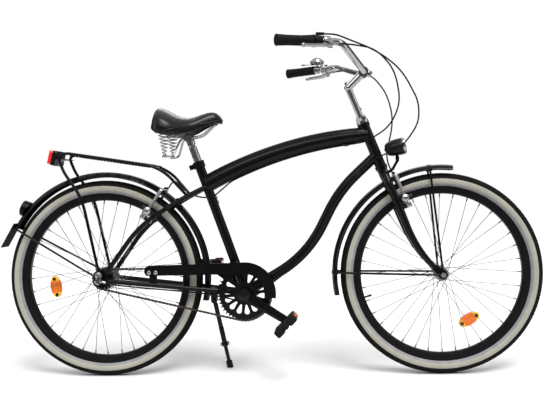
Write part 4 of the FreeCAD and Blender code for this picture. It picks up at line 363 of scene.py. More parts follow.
finish = {
    "paint": makeMaterial("blackGlossPaint", {"Specular IOR Level": 0.14}, paintLook),
    "rearGuard": makeMaterial("rearMudguard", {"Specular IOR Level": 0.1}, rearGuardLook),
    "chrome": makeMaterial("polishedChrome", {"Metallic": 1.0}, chromeLook),
    "silver": makeMaterial("satinAluminium", {"Metallic": 1.0}, silverLook),
    "spoke": makeMaterial("spokeSteel", {"Metallic": 0.35}, spokeLook),
    "chain": makeMaterial("oiledChain", {"Metallic": 0.9}, chainLook),
    "rim": makeMaterial("blackRim", {"Specular IOR Level": 0.08}, rimLook),
    "rubber": makeMaterial("blackRubber", {"Specular IOR Level": 0.1}, rubberLook),
    "plastic": makeMaterial("blackPlastic", {"Specular IOR Level": 0.16}, plasticLook),
    "leather": makeMaterial("saddleLeather", {"Specular IOR Level": 0.2}, leatherLook),
    "rearTyre": makeMaterial("rearTyreRubber", {"Specular IOR Level": 0.05}, tyreLook(rearAxle)),
    "frontTyre": makeMaterial("frontTyreRubber", {"Specular IOR Level": 0.05}, tyreLook(frontAxle)),
    "rearSpokeLens": makeMaterial("rearSpokeLens", {"Coat Weight": 0.15},
                                  spokeLensLook(rearAxle, spokeLens["rear"])),
    "frontSpokeLens": makeMaterial("frontSpokeLens", {"Coat Weight": 0.15},
                                   spokeLensLook(frontAxle, spokeLens["front"])),
    "pedalLens": makeMaterial("pedalLens", {"Coat Weight": 0.5},
                              lensLook(rgba(0.3, 0.05, 0.004), rgba(0.6, 0.15, 0.012), 330.0)),
    "red": makeMaterial("redLens", {"Coat Weight": 0.6},
                        lensLook(rgba(0.28, 0.003, 0.004), rgba(0.62, 0.02, 0.015), 300.0)),
    "tailLens": makeMaterial("tailLens", {"Coat Weight": 0.6}, tailLensLook),
    "brake": makeMaterial("brakeArmAndShoe", {}, brakeLook),
    "glass": makeMaterial("clearLens", {"Transmission Weight": 0.9, "IOR": 1.48,
                                        "Base Color": rgba(0.95, 0.97, 0.98)}, glassLook),
    "bowl": makeMaterial("lampBowl", {"Metallic": 1.0, "Base Color": rgba(0.9, 0.9, 0.9)}, bowlLook),
}

nodeFinish = {
    "paint": "head_tube top_tube down_tube seat_tube seat_stays chain_stays fork front_fender "
             "rear_rack chain_guard kickstand_bracket kickstand_leg seat_clamp headlight_bracket "
             "crank_arm_right crank_arm_left chainring rear_sprocket",
    "rearGuard": "rear_fender",
    "chrome": "seat_post saddle_rails saddle_springs stem handlebar bell rear_axle",
    "silver": "brake_lever_clamps brake_lever_left brake_lever_right front_hub rear_hub crank_spindle "
              "front_axle",
    "brake": "front_brake_arm_left front_brake_arm_right rear_brake_arm_left rear_brake_arm_right",
    "spoke": "front_spokes rear_spokes",
    "chain": "chain",
    "rim": "front_rim rear_rim",
    "rubber": "grips shifter_twist pedal_right pedal_left frame_cables handlebar_cables front_brake_cable",
    "plastic": "headlight shifter_housing tail_light bell_lever",
    "leather": "saddle",
    "rearTyre": "rear_tyre",
    "frontTyre": "front_tyre",
    "rearSpokeLens": "rear_wheel_reflector",
    "frontSpokeLens": "front_wheel_reflector",
    "tailLens": "tail_light_lens",
    "glass": "headlight_lens",
}
for finishName, names in nodeFinish.items():
    for name in names.split():
        mesh = nodes[name].data
        mesh.materials.clear()
        mesh.materials.append(finish[finishName])
print("finishes set:", len(finish))


# modelling helpers
def freshStart():
    if bpy.context.mode != "OBJECT":
        bpy.ops.object.mode_set(mode="OBJECT")
    bpy.ops.object.select_all(action="DESELECT")


def pickOnly(piece):
    freshStart()
    piece.select_set(True)
    bpy.context.view_layer.objects.active = piece


def pickParts(piece, kind, test):
    # faces or edges are chosen in code, and edit mode is left open for the next operator
    pickOnly(piece)
    bpy.ops.object.mode_set(mode="EDIT")
    bpy.ops.mesh.select_mode(type=kind)
    bpy.ops.mesh.select_all(action="DESELECT")
    bpy.ops.object.mode_set(mode="OBJECT")
    parts = piece.data.polygons if kind == "FACE" else piece.data.edges
    for part in parts:
        part.select = bool(test(part))
    bpy.ops.object.mode_set(mode="EDIT")


def leaveEdit():
    bpy.ops.object.mode_set(mode="OBJECT")


def editAll(piece):
    pickOnly(piece)
    bpy.ops.object.mode_set(mode="EDIT")
    bpy.ops.mesh.select_mode(type="EDGE")
    bpy.ops.mesh.select_all(action="SELECT")


def tidyMesh(piece, distance=0.00001):
    editAll(piece)
    bpy.ops.mesh.remove_doubles(threshold=distance)
    bpy.ops.mesh.normals_make_consistent(inside=False)
    leaveEdit()


def applyAll(piece):
    pickOnly(piece)
    for modifier in list(piece.modifiers):
        bpy.ops.object.modifier_apply(modifier=modifier.name)


def closeEnds():
    # in edit mode, open ends get a face each and all is selected again
    bpy.ops.mesh.select_all(action="DESELECT")
    bpy.ops.mesh.select_non_manifold()
    bpy.ops.mesh.edge_face_add()
    bpy.ops.mesh.select_all(action="SELECT")


def smoothBy(degrees):
    bpy.ops.object.shade_smooth_by_angle(angle=math.radians(degrees))


def applyPlace(piece):
    pickOnly(piece)
    bpy.ops.object.transform_apply(location=True, rotation=True, scale=True)


def dress(piece, name, finishName):
    piece.name = name
    piece.data.name = name
    piece.data.materials.clear()
    piece.data.materials.append(finish[finishName])


def settle(piece, name, body, finishName, angle=35.0):
    # a piece modelled upright leans with the bicycle and then rides on its body
    applyPlace(piece)
    piece.matrix_world = toRow
    bpy.context.view_layer.update()
    applyPlace(piece)
    smoothBy(angle)
    dress(piece, name, finishName)
    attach(piece, body)
    return piece


def poseAt(place, axis):
    turn = Vector(axis).to_track_quat("Z", "Y").to_matrix().to_4x4()
    return Matrix.Translation(Vector(place) * mm) @ turn


def poseBy(place, xAxis, yAxis):
    columns = (Vector(xAxis), Vector(yAxis), Vector(xAxis).cross(Vector(yAxis)))
    return Matrix.Translation(Vector(place) * mm) @ Matrix(columns).transposed().to_4x4()


def lathe(stations, segments):
    # a disc is extruded from station to station, each a distance along Z and a radius
    freshStart()
    along, radius = stations[0]
    bpy.ops.mesh.primitive_circle_add(vertices=segments, radius=radius * mm, fill_type="NGON")
    piece = bpy.context.object
    bpy.ops.object.mode_set(mode="EDIT")
    bpy.ops.mesh.select_mode(type="FACE")
    bpy.ops.mesh.select_all(action="SELECT")
    bpy.ops.transform.translate(value=(0, 0, along * mm))
    for nextAlong, nextRadius in stations[1:]:
        rise = (0, 0, (nextAlong - along) * mm)
        bpy.ops.mesh.extrude_region_move(TRANSFORM_OT_translate={"value": rise})
        share = nextRadius / radius
        bpy.ops.transform.resize(value=(share, share, 1), center_override=(0, 0, nextAlong * mm))
        along, radius = nextAlong, nextRadius
    bpy.ops.mesh.select_all(action="SELECT")
    bpy.ops.mesh.normals_make_consistent(inside=False)
    leaveEdit()
    return piece


def hoop(profile, steps, degrees=360.0):
    # a closed outline of radius and height is turned about Z, starting on the X side
    freshStart()
    bpy.ops.mesh.primitive_circle_add(vertices=len(profile), radius=mm)
    piece = bpy.context.object
    for vertex, (radius, along) in zip(piece.data.vertices, profile):
        vertex.co = (radius * mm, 0, along * mm)
    turn = piece.modifiers.new("turn", "SCREW")
    turn.angle = math.radians(degrees)
    turn.steps = turn.render_steps = steps
    turn.use_merge_vertices = degrees == 360.0
    applyAll(piece)
    editAll(piece)
    bpy.ops.mesh.remove_doubles(threshold=0.000002)
    if degrees != 360.0:
        closeEnds()
    bpy.ops.mesh.normals_make_consistent(inside=False)
    leaveEdit()
    return piece


def roundProfile(radius, along, size, count=8):
    turns = [2 * math.pi * index / count for index in range(count)]
    return [(radius + size * math.cos(turn), along + size * math.sin(turn)) for turn in turns]


def bothEnds(profile, half):
    # stations counted in from one end are repeated in from the other
    near = [(along - half, radius) for along, radius in profile]
    return near + [(-along, radius) for along, radius in reversed(near)]


def onRib(face, ribs):
    # every second strip round the Z axis is a rib
    return math.floor(math.atan2(face.center.y, face.center.x) / math.pi * ribs) % 2 == 0


def placed(piece, pose):
    piece.matrix_world = pose
    bpy.context.view_layer.update()
    return piece


def joinPieces(pieces):
    freshStart()
    for piece in pieces:
        piece.select_set(True)
    bpy.context.view_layer.objects.active = pieces[0]
    bpy.ops.object.transform_apply(location=True, rotation=True, scale=True)
    if len(pieces) > 1:
        bpy.ops.object.join()
    return bpy.context.view_layer.objects.active


def copiesOf(piece, poses):
    made = []
    for pose in poses:
        twin = piece.copy()
        twin.data = piece.data.copy()
        bpy.context.scene.collection.objects.link(twin)
        made.append(placed(twin, pose))
    bpy.data.objects.remove(piece)
    return made


def block(size, place, bevel):
    freshStart()
    bpy.ops.mesh.primitive_cube_add(size=1, location=Vector(place) * mm)
    piece = bpy.context.object
    piece.scale = [value * mm for value in size]
    applyPlace(piece)
    editAll(piece)
    bpy.ops.mesh.bevel(offset=bevel * mm, segments=2, affect="EDGES")
    leaveEdit()
    return piece


def looseCopy(source):
    # a copy with its own mesh that rides on nothing yet
    piece = source.copy()
    piece.data = source.data.copy()
    piece.parent = None
    bpy.context.scene.collection.objects.link(piece)
    for key in list(piece.keys()):
        del piece[key]
    return piece


rounding = {"sharp": 42.0, "flat": 0.6, "smooth": 38}


def softened(nodeName, name, finishName, width):
    # a merged copy of a CAD piece, with its sharp edges rounded over
    piece = looseCopy(nodes[nodeName])
    editAll(piece)
    bpy.ops.mesh.remove_doubles(threshold=0.00001)
    bpy.ops.mesh.dissolve_limited(angle_limit=math.radians(rounding["flat"]))
    leaveEdit()
    bevel = piece.modifiers.new("rounding", "BEVEL")
    bevel.width = width * mm
    bevel.segments = 2
    bevel.limit_method = "ANGLE"
    bevel.angle_limit = math.radians(rounding["sharp"])
    applyAll(piece)
    smoothBy(rounding["smooth"])
    dress(piece, name, finishName)
    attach(piece, nodes[nodeName]["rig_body"])
    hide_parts(nodeName)


# a bolt's head as shares of its height and radius, and its socket
boltHead = {"sunk": 0.8, "profile": ((0.7, 1), (0.92, 0.9), (1, 0.74)), "sides": 16, "land": 0.2,
            "wall": 0.03, "socket": 0.45}


def boltSet(spots, radius, height, name, body, finishName="silver", slotName="silver"):
    # one socket-head bolt is modelled and copied to every spot, which is a place and a direction
    stations = [(height * along, radius * share) for along, share in boltHead["profile"]]
    head = lathe([(-boltHead["sunk"], radius)] + stations, boltHead["sides"])
    pickParts(head, "FACE", lambda face: face.normal.z > 0.9 and face.center.z > height * 0.95 * mm)
    bpy.ops.mesh.inset(thickness=radius * boltHead["land"] * mm, depth=0)
    bpy.ops.mesh.inset(thickness=radius * boltHead["wall"] * mm, depth=-height * boltHead["socket"] * mm)
    leaveEdit()
    bolts = copiesOf(head, [poseAt(place, axis) for place, axis in spots])
    settle(joinPieces(bolts), name, body, finishName)


# tyres
treads = {"middle": 306.0, "section": 23.6, "block": 1.4, "gap": 1.1, "around": 150, "across": 24,
          "widen": 1.055, "treadFrom": 316.0, "beadAt": 288.5, "beadHalf": 13.2}


def tyre(origin, name, node, body, finishName):
    freshStart()
    bpy.ops.mesh.primitive_torus_add(major_segments=treads["around"], minor_segments=treads["across"],
                                     major_radius=treads["middle"] * mm, minor_radius=treads["section"] * mm,
                                     rotation=(math.pi / 2, 0, 0))
    piece = bpy.context.object
    piece.scale = (1, 1, treads["widen"])
    applyPlace(piece)

    def reach(point):
        return math.hypot(point.x, point.z) / mm

    for vertex in piece.data.vertices:  # the bead draws in between the rim's walls
        if reach(vertex.co) < treads["beadAt"]:
            limit = treads["beadHalf"] * mm
            vertex.co.y = max(-limit, min(limit, vertex.co.y))
    pickParts(piece, "FACE", lambda face: reach(face.center) > treads["treadFrom"])
    bpy.ops.mesh.inset(thickness=treads["gap"] * mm, depth=treads["block"] * mm, use_individual=True)
    leaveEdit()
    piece.location = origin * mm
    settle(piece, name, body, finishName, 30.0)
    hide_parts(node)


tyre(rearAxle, "rearTyreTread", "rear_tyre", "rear_wheel", "rearTyre")
tyre(frontAxle, "frontTyreTread", "front_tyre", "front_wheel", "frontTyre")
print("tyres done")


# wheel trim: caps on the valves, oval spoke lenses and the screws through them
wheelTrim = {"valveAt": 249.0, "cap": [(0, 3.2), (0.6, 3.9), (7, 3.7), (9, 2.6), (10, 1.2)],
             "capSides": 14, "grooved": (-2, 3), "groove": (0.2, 0.3), "lensHalf": (37.0, 18.5),
             "lensEdge": [(0, 2), (1, 0.6), (3, 0)], "border": 1.6, "sink": (0.3, 0.6),
             "screwReach": 27.0, "screw": (2.6, 1.4)}


def ovalLens(pose, word, body, depth):
    # a turned disc is drawn out to an oval, and both faces sink inside a narrow border
    reach, half = wheelTrim["lensHalf"]
    edge = [(along, half - inset) for along, inset in wheelTrim["lensEdge"]]
    lens = lathe(bothEnds(edge, depth), 40)
    lens.scale = (reach / half, 1, 1)
    applyPlace(lens)
    pickParts(lens, "FACE", lambda face: abs(face.normal.z) > 0.95)
    bpy.ops.mesh.inset(thickness=wheelTrim["border"] * mm, depth=0)
    wall, sink = wheelTrim["sink"]
    bpy.ops.mesh.inset(thickness=wall * mm, depth=-sink * mm)
    leaveEdit()
    settle(placed(lens, pose), word + "OvalLens", body, word + "SpokeLens")
    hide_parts(word + "_wheel_reflector")


def trimWheel(centre, word, body, valveDegrees, lensDepth):
    inward = wheelPoint(Vector(), -1, valveDegrees)
    cap = lathe(wheelTrim["cap"], wheelTrim["capSides"])
    first, last = wheelTrim["grooved"]

    def isGroove(face):
        # chosen by angle, because the order of faces after an extrusion changes from run to run
        facet = math.atan2(face.center.y, face.center.x) / math.tau * wheelTrim["capSides"]
        return abs(face.normal.z) < 0.3 and first <= round(facet) <= last

    pickParts(cap, "FACE", isGroove)
    land, groove = wheelTrim["groove"]
    bpy.ops.mesh.inset(thickness=land * mm, depth=-groove * mm, use_individual=True)
    leaveEdit()
    placed(cap, poseAt(wheelPoint(centre, wheelTrim["valveAt"], valveDegrees), inward))
    settle(cap, word + "ValveCap", body, "plastic")
    along = wheelPoint(Vector(), 1, spokeLens[word]).cross(across)
    middle = wheelPoint(centre, spokeLens["reach"], spokeLens[word])
    ovalLens(poseBy(middle, along, across.cross(along)), word, body, lensDepth)
    face = lensDepth - wheelTrim["sink"][1]
    spots = []
    for side in (1, -1):
        for way in (1, -1):
            spot = middle + along * (way * wheelTrim["screwReach"]) + across * (side * face)
            spots.append((spot, across * side))
    boltSet(spots, *wheelTrim["screw"], word + "LensScrews", body, "plastic", "black_plastic")


trimWheel(rearAxle, "rear", "rear_wheel", 98, 8.0)
trimWheel(frontAxle, "front", "front_wheel", 197, 9.1)
print("wheel trim done")


# saddle
# hump, tipDrop, corner and rearPull are each a place along the saddle, a width and a size
saddle = {"voxel": 0.004, "shrink": -0.003, "pressure": 4.0, "cap": 0.006, "frames": 20, "relax": 10,
          "hump": (70.0, 42.0, 11.0), "tipDrop": (94.0, 26.0, 13.0), "corner": (-103.0, 24.0, 8.0),
          "rearPull": (-126.0, 20.0, 9.0), "rearBand": (55.0, 26.0), "underBelow": -0.35, "rimBelow": 0.1,
          "piping": 1.9, "hemAt": 33.0, "hemSlope": (-0.2, 0, 0.98)}


def shapeSaddle(pad):
    # a fuller nose that droops at its tip, and a sharper rear corner over a flatter back
    def swell(key, forward):
        place, width, size = saddle[key]
        return size * math.exp(-((forward - place) / width) ** 2)

    normals = [vertex.normal.copy() for vertex in pad.data.vertices]
    for vertex, normal in zip(pad.data.vertices, normals):
        forward, _, height = fromRow @ vertex.co / mm - saddleClamp
        top = max(0.0, normal.z) ** 0.5
        place, width, size = saddle["tipDrop"]
        droop = max(0.0, min(1.0, (forward - place) / width))
        rise = (swell("hump", forward) + swell("corner", forward)) * top - size * droop
        middle, band = saddle["rearBand"]
        pull = swell("rearPull", forward) * math.exp(-((height - middle) / band) ** 2)
        vertex.co += leanSpin @ Vector((pull, 0, rise)) * mm


def smoothing(piece, times):
    made = piece.modifiers.new("smoothing", "SMOOTH")
    made.factor = 0.5
    made.iterations = times
    return made


def padSaddle():
    pad = looseCopy(nodes["saddle"])
    tidyMesh(pad, 0.0001)
    pad.data.remesh_voxel_size = saddle["voxel"]
    bpy.ops.object.voxel_remesh()
    shapeSaddle(pad)
    smoothing(pad, saddle["relax"])
    applyAll(pad)
    editAll(pad)
    bpy.ops.transform.shrink_fatten(value=saddle["shrink"])
    leaveEdit()
    before = [vertex.co.copy() for vertex in pad.data.vertices]
    for word, limit in (("under", saddle["underBelow"]), ("rim", saddle["rimBelow"])):
        low = [vertex.index for vertex in pad.data.vertices if vertex.normal.z < limit]
        pad.vertex_groups.new(name=word).add(low, 1.0, "REPLACE")
    cloth = pad.modifiers.new("stuffing", "CLOTH")
    cloth.settings.use_pressure = True
    cloth.settings.uniform_pressure_force = saddle["pressure"]
    cloth.settings.vertex_group_mass = "under"
    cloth.settings.effector_weights.gravity = 0.0
    cloth.point_cache.frame_end = saddle["frames"]
    for step in range(1, saddle["frames"] + 1):
        bpy.context.scene.frame_set(step)
    applyAll(pad)
    bpy.context.scene.frame_set(1)
    for vertex, start in zip(pad.data.vertices, before):
        move = vertex.co - start
        if move.length > saddle["cap"]:
            vertex.co = start + move * (saddle["cap"] / move.length)
    smoothing(pad, 2 * saddle["relax"]).vertex_group = "rim"
    smooth = pad.modifiers.new("skin", "SUBSURF")
    smooth.levels = smooth.render_levels = 1
    applyAll(pad)
    bpy.ops.object.shade_smooth()
    dress(pad, "saddlePad", "leather")
    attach(pad, "saddle_top")
    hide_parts("saddle")
    return pad


def sewHem(pad):
    # a sloped plane cuts a copy of the pad, and the cut line becomes a sewn cord
    line = looseCopy(pad)
    place = saddleClamp + Vector((0, 0, saddle["hemAt"]))
    slope = Vector(saddle["hemSlope"]).normalized()
    editAll(line)
    bpy.ops.mesh.bisect(plane_co=toRow @ (place * mm), plane_no=leanSpin @ slope)
    bpy.ops.mesh.duplicate()
    bpy.ops.mesh.separate(type="SELECTED")
    leaveEdit()
    seam = [piece for piece in bpy.context.selected_objects if piece != line][0]
    bpy.data.objects.remove(line)
    pickOnly(seam)
    bpy.ops.object.convert(target="CURVE")
    seam.data.bevel_depth = saddle["piping"] * mm
    seam.data.bevel_resolution = 3
    seam.data.use_fill_caps = True
    bpy.ops.object.convert(target="MESH")
    tidyMesh(seam)
    bpy.ops.object.shade_smooth()
    dress(seam, "saddleHem", "leather")
    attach(seam, "saddle_top")


saddlePad = padSaddle()
sewHem(saddlePad)
print("saddle padded:", len(saddlePad.data.polygons), "faces")


# saddle springs: cones of wire between a cup on the rail and a cup under the saddle
coils = {"turns": 6, "wire": 2.1, "foot": 4.6, "head": 19.0, "height": 72.0, "top": (-71, 70, 13),
         "steps": 28, "keep": 0.88,
         "cup": [(-4, 5.0), (-3.4, 6.6), (-1.2, 6.6), (-0.6, 4.6), (5, 3.8), (6.5, 2.6)]}


def saddleSprings():
    made = []
    for side in (1, -1):
        freshStart()
        bpy.ops.mesh.primitive_circle_add(vertices=10, radius=coils["wire"] * mm)
        wire = bpy.context.object
        for vertex in wire.data.vertices:
            vertex.co = (coils["head"] * mm + vertex.co.x, 0, vertex.co.y)
        winding = wire.modifiers.new("winding", "SCREW")
        winding.iterations = coils["turns"]
        winding.screw_offset = (coils["height"] - 2 * coils["wire"]) / coils["turns"] * mm
        winding.steps = winding.render_steps = coils["steps"]
        applyAll(wire)
        tall = coils["height"] * mm
        for vertex in wire.data.vertices:  # the coil narrows towards its foot
            narrow = (coils["head"] - coils["foot"]) * mm * (1 - vertex.co.z / tall)
            reach = math.hypot(vertex.co.x, vertex.co.y)
            share = (reach - narrow) / reach
            vertex.co.x *= share
            vertex.co.y *= share
        editAll(wire)
        closeEnds()
        bpy.ops.mesh.normals_make_consistent(inside=False)
        leaveEdit()
        reachX, reachY, reachZ = coils["top"]
        foot = saddleClamp + Vector((reachX, reachY * side, reachZ - coils["height"] + coils["wire"]))
        for part in (wire, lathe(coils["cup"], 20)):
            made.append(placed(part, Matrix.Translation(foot * mm)))
    springs = settle(joinPieces(made), "saddleCoils", "seat", "chrome", 50.0)
    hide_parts("saddle_springs")
    anchor = saddleClamp + Vector((coils["top"][0], 0, coils["top"][2] - coils["height"]))
    tuple(toRow @ (anchor * mm))
    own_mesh(springs)


saddleSprings()
print("springs wound")


# drive chain: one inner and one outer link, copied round both sprockets
driveChain = {"pitch": 12.7, "links": 106, "ringTeeth": 44, "sprocketTeeth": 16, "side": -48.0,
              "plateHalf": 4.2, "outerLess": 0.4, "plate": 1.0, "waist": 0.62, "roller": 3.8,
              "rollerWidth": 3.2, "gap": 0.12, "pin": 2.2, "pinProud": 1.1}


def pinPlace(step):
    # over the chainring, back below, round the sprocket and forward above
    pitch, side = driveChain["pitch"], driveChain["side"]
    big = pitch / (2 * math.sin(math.pi / driveChain["ringTeeth"]))
    small = pitch / (2 * math.sin(math.pi / driveChain["sprocketTeeth"]))
    span = crankAxle - rearAxle
    tilt = math.atan2(span.z, span.x)
    rise = math.asin((big - small) / span.length)
    straight = math.sqrt(span.length ** 2 - (big - small) ** 2) / pitch
    frontWrap = driveChain["ringTeeth"] * (0.5 + rise / math.pi)
    rearWrap = driveChain["sprocketTeeth"] * (0.5 - rise / math.pi)
    high = math.degrees(tilt + math.pi / 2 + rise)
    low = math.degrees(tilt - math.pi / 2 - rise)
    step = step % driveChain["links"]
    if step < frontWrap:
        return wheelPoint(crankAxle, big, high - 360 * step / driveChain["ringTeeth"], side)
    step -= frontWrap
    if step < straight:
        start = wheelPoint(crankAxle, big, low, side)
        return start.lerp(wheelPoint(rearAxle, small, low, side), step / straight)
    step -= straight
    if step < rearWrap:
        return wheelPoint(rearAxle, small, low - 360 * step / driveChain["sprocketTeeth"], side)
    step -= rearWrap
    start = wheelPoint(rearAxle, small, high, side)
    return start.lerp(wheelPoint(crankAxle, big, high, side), step / straight)


def crossPin(place, radius, length, count, ends):
    # a roller or a rivet across the chain, a little narrower at both ends
    stations = [(-length / 2, radius * ends), (0, radius), (length / 2, radius * ends)]
    return placed(lathe(stations, count), poseAt((place, 0, 0), across))


def linkPlate(side, radius):
    # a disc parts over the two pins, its middle draws in to a waist, and it is extruded to a plate
    freshStart()
    bpy.ops.mesh.primitive_circle_add(vertices=16, radius=radius * mm, fill_type="NGON")
    plate = bpy.context.object
    half = driveChain["pitch"] / 2 * mm
    for vertex in plate.data.vertices:
        if abs(vertex.co.x) < radius * 0.1 * mm:
            vertex.co.y *= driveChain["waist"]
        else:
            vertex.co.x += math.copysign(half, vertex.co.x)
    editAll(plate)
    bpy.ops.mesh.extrude_region_move(TRANSFORM_OT_translate={"value": (0, 0, driveChain["plate"] * mm)})
    bpy.ops.mesh.select_all(action="SELECT")
    bpy.ops.mesh.normals_make_consistent(inside=False)
    leaveEdit()
    plate.rotation_euler = (math.pi / 2, 0, 0)
    plate.location = (0, (side + driveChain["plate"] / 2) * mm, 0)
    return joinPieces([plate])


def rollerChain():
    half = driveChain["pitch"] / 2
    inside = (driveChain["rollerWidth"] + driveChain["plate"]) / 2
    outside = driveChain["rollerWidth"] / 2 + 1.5 * driveChain["plate"] + driveChain["gap"]
    inner = [linkPlate(side, driveChain["plateHalf"]) for side in (inside, -inside)]
    slim = driveChain["plateHalf"] - driveChain["outerLess"]
    outer = [linkPlate(side, slim) for side in (outside, -outside)]
    pinLength = 2 * (outside + driveChain["pinProud"])
    for place in (half, -half):
        inner.append(crossPin(place, driveChain["roller"], driveChain["rollerWidth"], 8, 0.96))
        outer.append(crossPin(place, driveChain["pin"], pinLength, 7, 0.85))
    poses = ([], [])
    for index in range(driveChain["links"]):
        start, end = pinPlace(index), pinPlace(index + 1)
        poses[index % 2].append(poseBy((start + end) / 2, (end - start).normalized(), across))
    links = copiesOf(joinPieces(inner), poses[0]) + copiesOf(joinPieces(outer), poses[1])
    loop = settle(joinPieces(links), "rollerChain", nodes["chain"]["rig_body"], "chain")
    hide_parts("chain")


rollerChain()
print("chain laid:", driveChain["links"], "links")


# pedals: ribbed rubber treads on a barrel and two side plates, with a lens on each end
pedal = {"length": 84.0, "width": 92.0, "thick": 26.0, "rib": 1.2, "ribSlope": 0.4, "strips": 13,
         "margin": 4.0, "treadShare": 0.36, "treadAt": 0.32, "treadRound": 3.5,
         "barrel": [(0, 8), (1.5, 10.4), (12, 11)],
         "plate": (67.2, 7.0, 13.0), "plateSide": 38.64, "crank": 165.0, "crankDegrees": -32.0,
         "inner": 91.5, "lens": (3.2, 55.0, 13.0), "lensBorder": 1.5, "lensSink": (0.4, 0.5)}


def pedalTread(way):
    ribbed = pedal["width"] - 2 * pedal["margin"]
    step = ribbed / pedal["strips"]
    size = (pedal["length"] * pedal["treadShare"], pedal["width"], pedal["thick"] - 2 * pedal["rib"])
    tread = block(size, (way * pedal["length"] * pedal["treadAt"], 0, 0), pedal["treadRound"])
    editAll(tread)
    for index in range(pedal["strips"] + 1):
        bpy.ops.mesh.select_all(action="SELECT")
        bpy.ops.mesh.bisect(plane_co=(0, (-ribbed / 2 + index * step) * mm, 0), plane_no=(0, 1, 0))
    leaveEdit()

    def isRib(face):
        strip = math.floor((face.center.y / mm + ribbed / 2) / step)
        return abs(face.normal.z) > 0.95 and 0 <= strip < pedal["strips"] and strip % 2 == 0

    pickParts(tread, "FACE", isRib)
    bpy.ops.mesh.inset(thickness=pedal["ribSlope"] * mm, depth=pedal["rib"] * mm)
    leaveEdit()
    return tread


def makePedal(side, word, body, tilt):
    angle = math.radians(tilt)
    forward = Vector((math.cos(angle), 0, math.sin(angle)))
    middle = wheelPoint(crankAxle, -side * pedal["crank"], pedal["crankDegrees"],
                        side * (pedal["inner"] + pedal["width"] / 2))
    pose = poseBy(middle, forward, across)
    half = pedal["width"] / 2
    barrel = lathe(bothEnds(pedal["barrel"], half), 20)
    barrel.rotation_euler = (math.pi / 2, 0, 0)
    plates = [block(pedal["plate"], (0, way * pedal["plateSide"], 0), 1.5) for way in (1, -1)]
    solid = joinPieces([pedalTread(1), pedalTread(-1), barrel] + plates)
    settle(placed(solid, pose), word + "PedalTreads", body, "rubber")
    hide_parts("pedal_" + word)
    lenses = []
    wall, sink = pedal["lensSink"]
    lensAt = (pedal["length"] + pedal["lens"][0]) / 2 - wall
    for way in (1, -1):
        lens = block(pedal["lens"], (way * lensAt, 0, 0), 0.8)
        pickParts(lens, "FACE", lambda face: face.normal.x * way > 0.95)
        bpy.ops.mesh.inset(thickness=pedal["lensBorder"] * mm, depth=0)
        bpy.ops.mesh.inset(thickness=wall * mm, depth=-sink * mm)
        leaveEdit()
        lenses.append(lens)
    settle(placed(joinPieces(lenses), pose), word + "PedalLenses", body, "pedalLens")


makePedal(-1, "right", "right_pedal", 45.0)
makePedal(1, "left", "left_pedal", 3.0)
print("pedals done")


# grips and twist shifter
# a grip has a flared end, then ridges, then a plain collar
grip = {"radius": 15.5, "flare": 1.6, "flareOver": 33.0, "rib": 0.7, "pitch": 4.4, "ribsFrom": 5.0,
        "ribsTo": 8.0, "left": 110.0, "right": 86.0, "ridge": ((0, 1), (0.5, 0), (2.3, 0), (2.8, 1)),
        "end": [(-4.0, 12.5), (-3.5, 15.5), (-2.6, 17.4), (2.0, 17.4), (3.0, 15.9)],
        "collar": ((4, -0.7), (3.4, 0.6), (0.6, 0.6), (0, -0.4))}


def gripStations(length):
    stations = list(grip["end"])
    along = grip["ribsFrom"]
    while along < length - grip["ribsTo"]:
        crest = grip["radius"] + grip["flare"] * max(0.0, 1 - along / grip["flareOver"])
        stations += [(along + step, crest - grip["rib"] * low) for step, low in grip["ridge"]]
        along += grip["pitch"]
    return stations + [(length - back, grip["radius"] + proud) for back, proud in grip["collar"]]


def makeGrips():
    made = []
    for side, length in ((1, grip["left"]), (-1, grip["right"])):
        made.append(placed(lathe(gripStations(length), 28), poseAt(barPoint(side, 0), barInward(side))))
    ribbed = settle(joinPieces(made), "ribbedGrips", "steer", "rubber", 40.0)
    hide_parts("grips")


twist = {"start": 86.5, "ribs": 18, "rib": 0.9, "land": 0.5, "leastArea": 5e-6,
         "drum": [(0, 13.5), (0.4, 14.8), (1.6, 15.3), (27.5, 17.0), (29.4, 16.6), (30, 15.4)]}


def makeTwist():
    drum = lathe(twist["drum"], 2 * twist["ribs"])
    pickParts(drum, "FACE", lambda face: abs(face.normal.z) < 0.2 and face.area > twist["leastArea"]
              and onRib(face, twist["ribs"]))
    bpy.ops.mesh.inset(thickness=twist["land"] * mm, depth=twist["rib"] * mm, use_individual=True)
    leaveEdit()
    placed(drum, poseAt(barPoint(-1, twist["start"]), barInward(-1)))
    settle(drum, "twistShifter", "shifter", "rubber")
    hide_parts("shifter_twist")


makeGrips()
makeTwist()
print("grips done")


# brake levers and their pivots
levers = {"left": 150.0, "right": 158.0, "reach": 32.0, "droop": 25.0, "pinHalf": 7.4,
          "pivotBolt": (4.2, 2.4), "clampBack": 15.6, "clampBolt": (3.4, 2.6)}


def leverAxes(side):
    # the way that the lever stands out in front of the bar, and the way of its pivot pin
    inward = barInward(side)
    level = Vector((abs(inward.y), side * inward.x, 0)).normalized()
    down = inward.cross(level).normalized()
    if down.z > 0:
        down = -down
    droop = math.radians(levers["droop"])
    front = (level * math.cos(droop) + down * math.sin(droop)).normalized()
    return front, (-inward).cross(front).normalized()


def leverBolts():
    spots = []
    clampSpots = []
    for side, place in ((1, levers["left"]), (-1, levers["right"])):
        front, pin = leverAxes(side)
        pivot = barPoint(side, place) + front * levers["reach"]
        spots += [(pivot + pin * (way * levers["pinHalf"]), pin * way) for way in (1, -1)]
        clampSpots.append((barPoint(side, place) - front * levers["clampBack"], -front))
    boltSet(spots, *levers["pivotBolt"], "leverPivotBolts", "steer")
    boltSet(clampSpots, *levers["clampBolt"], "leverClampBolts", "steer")


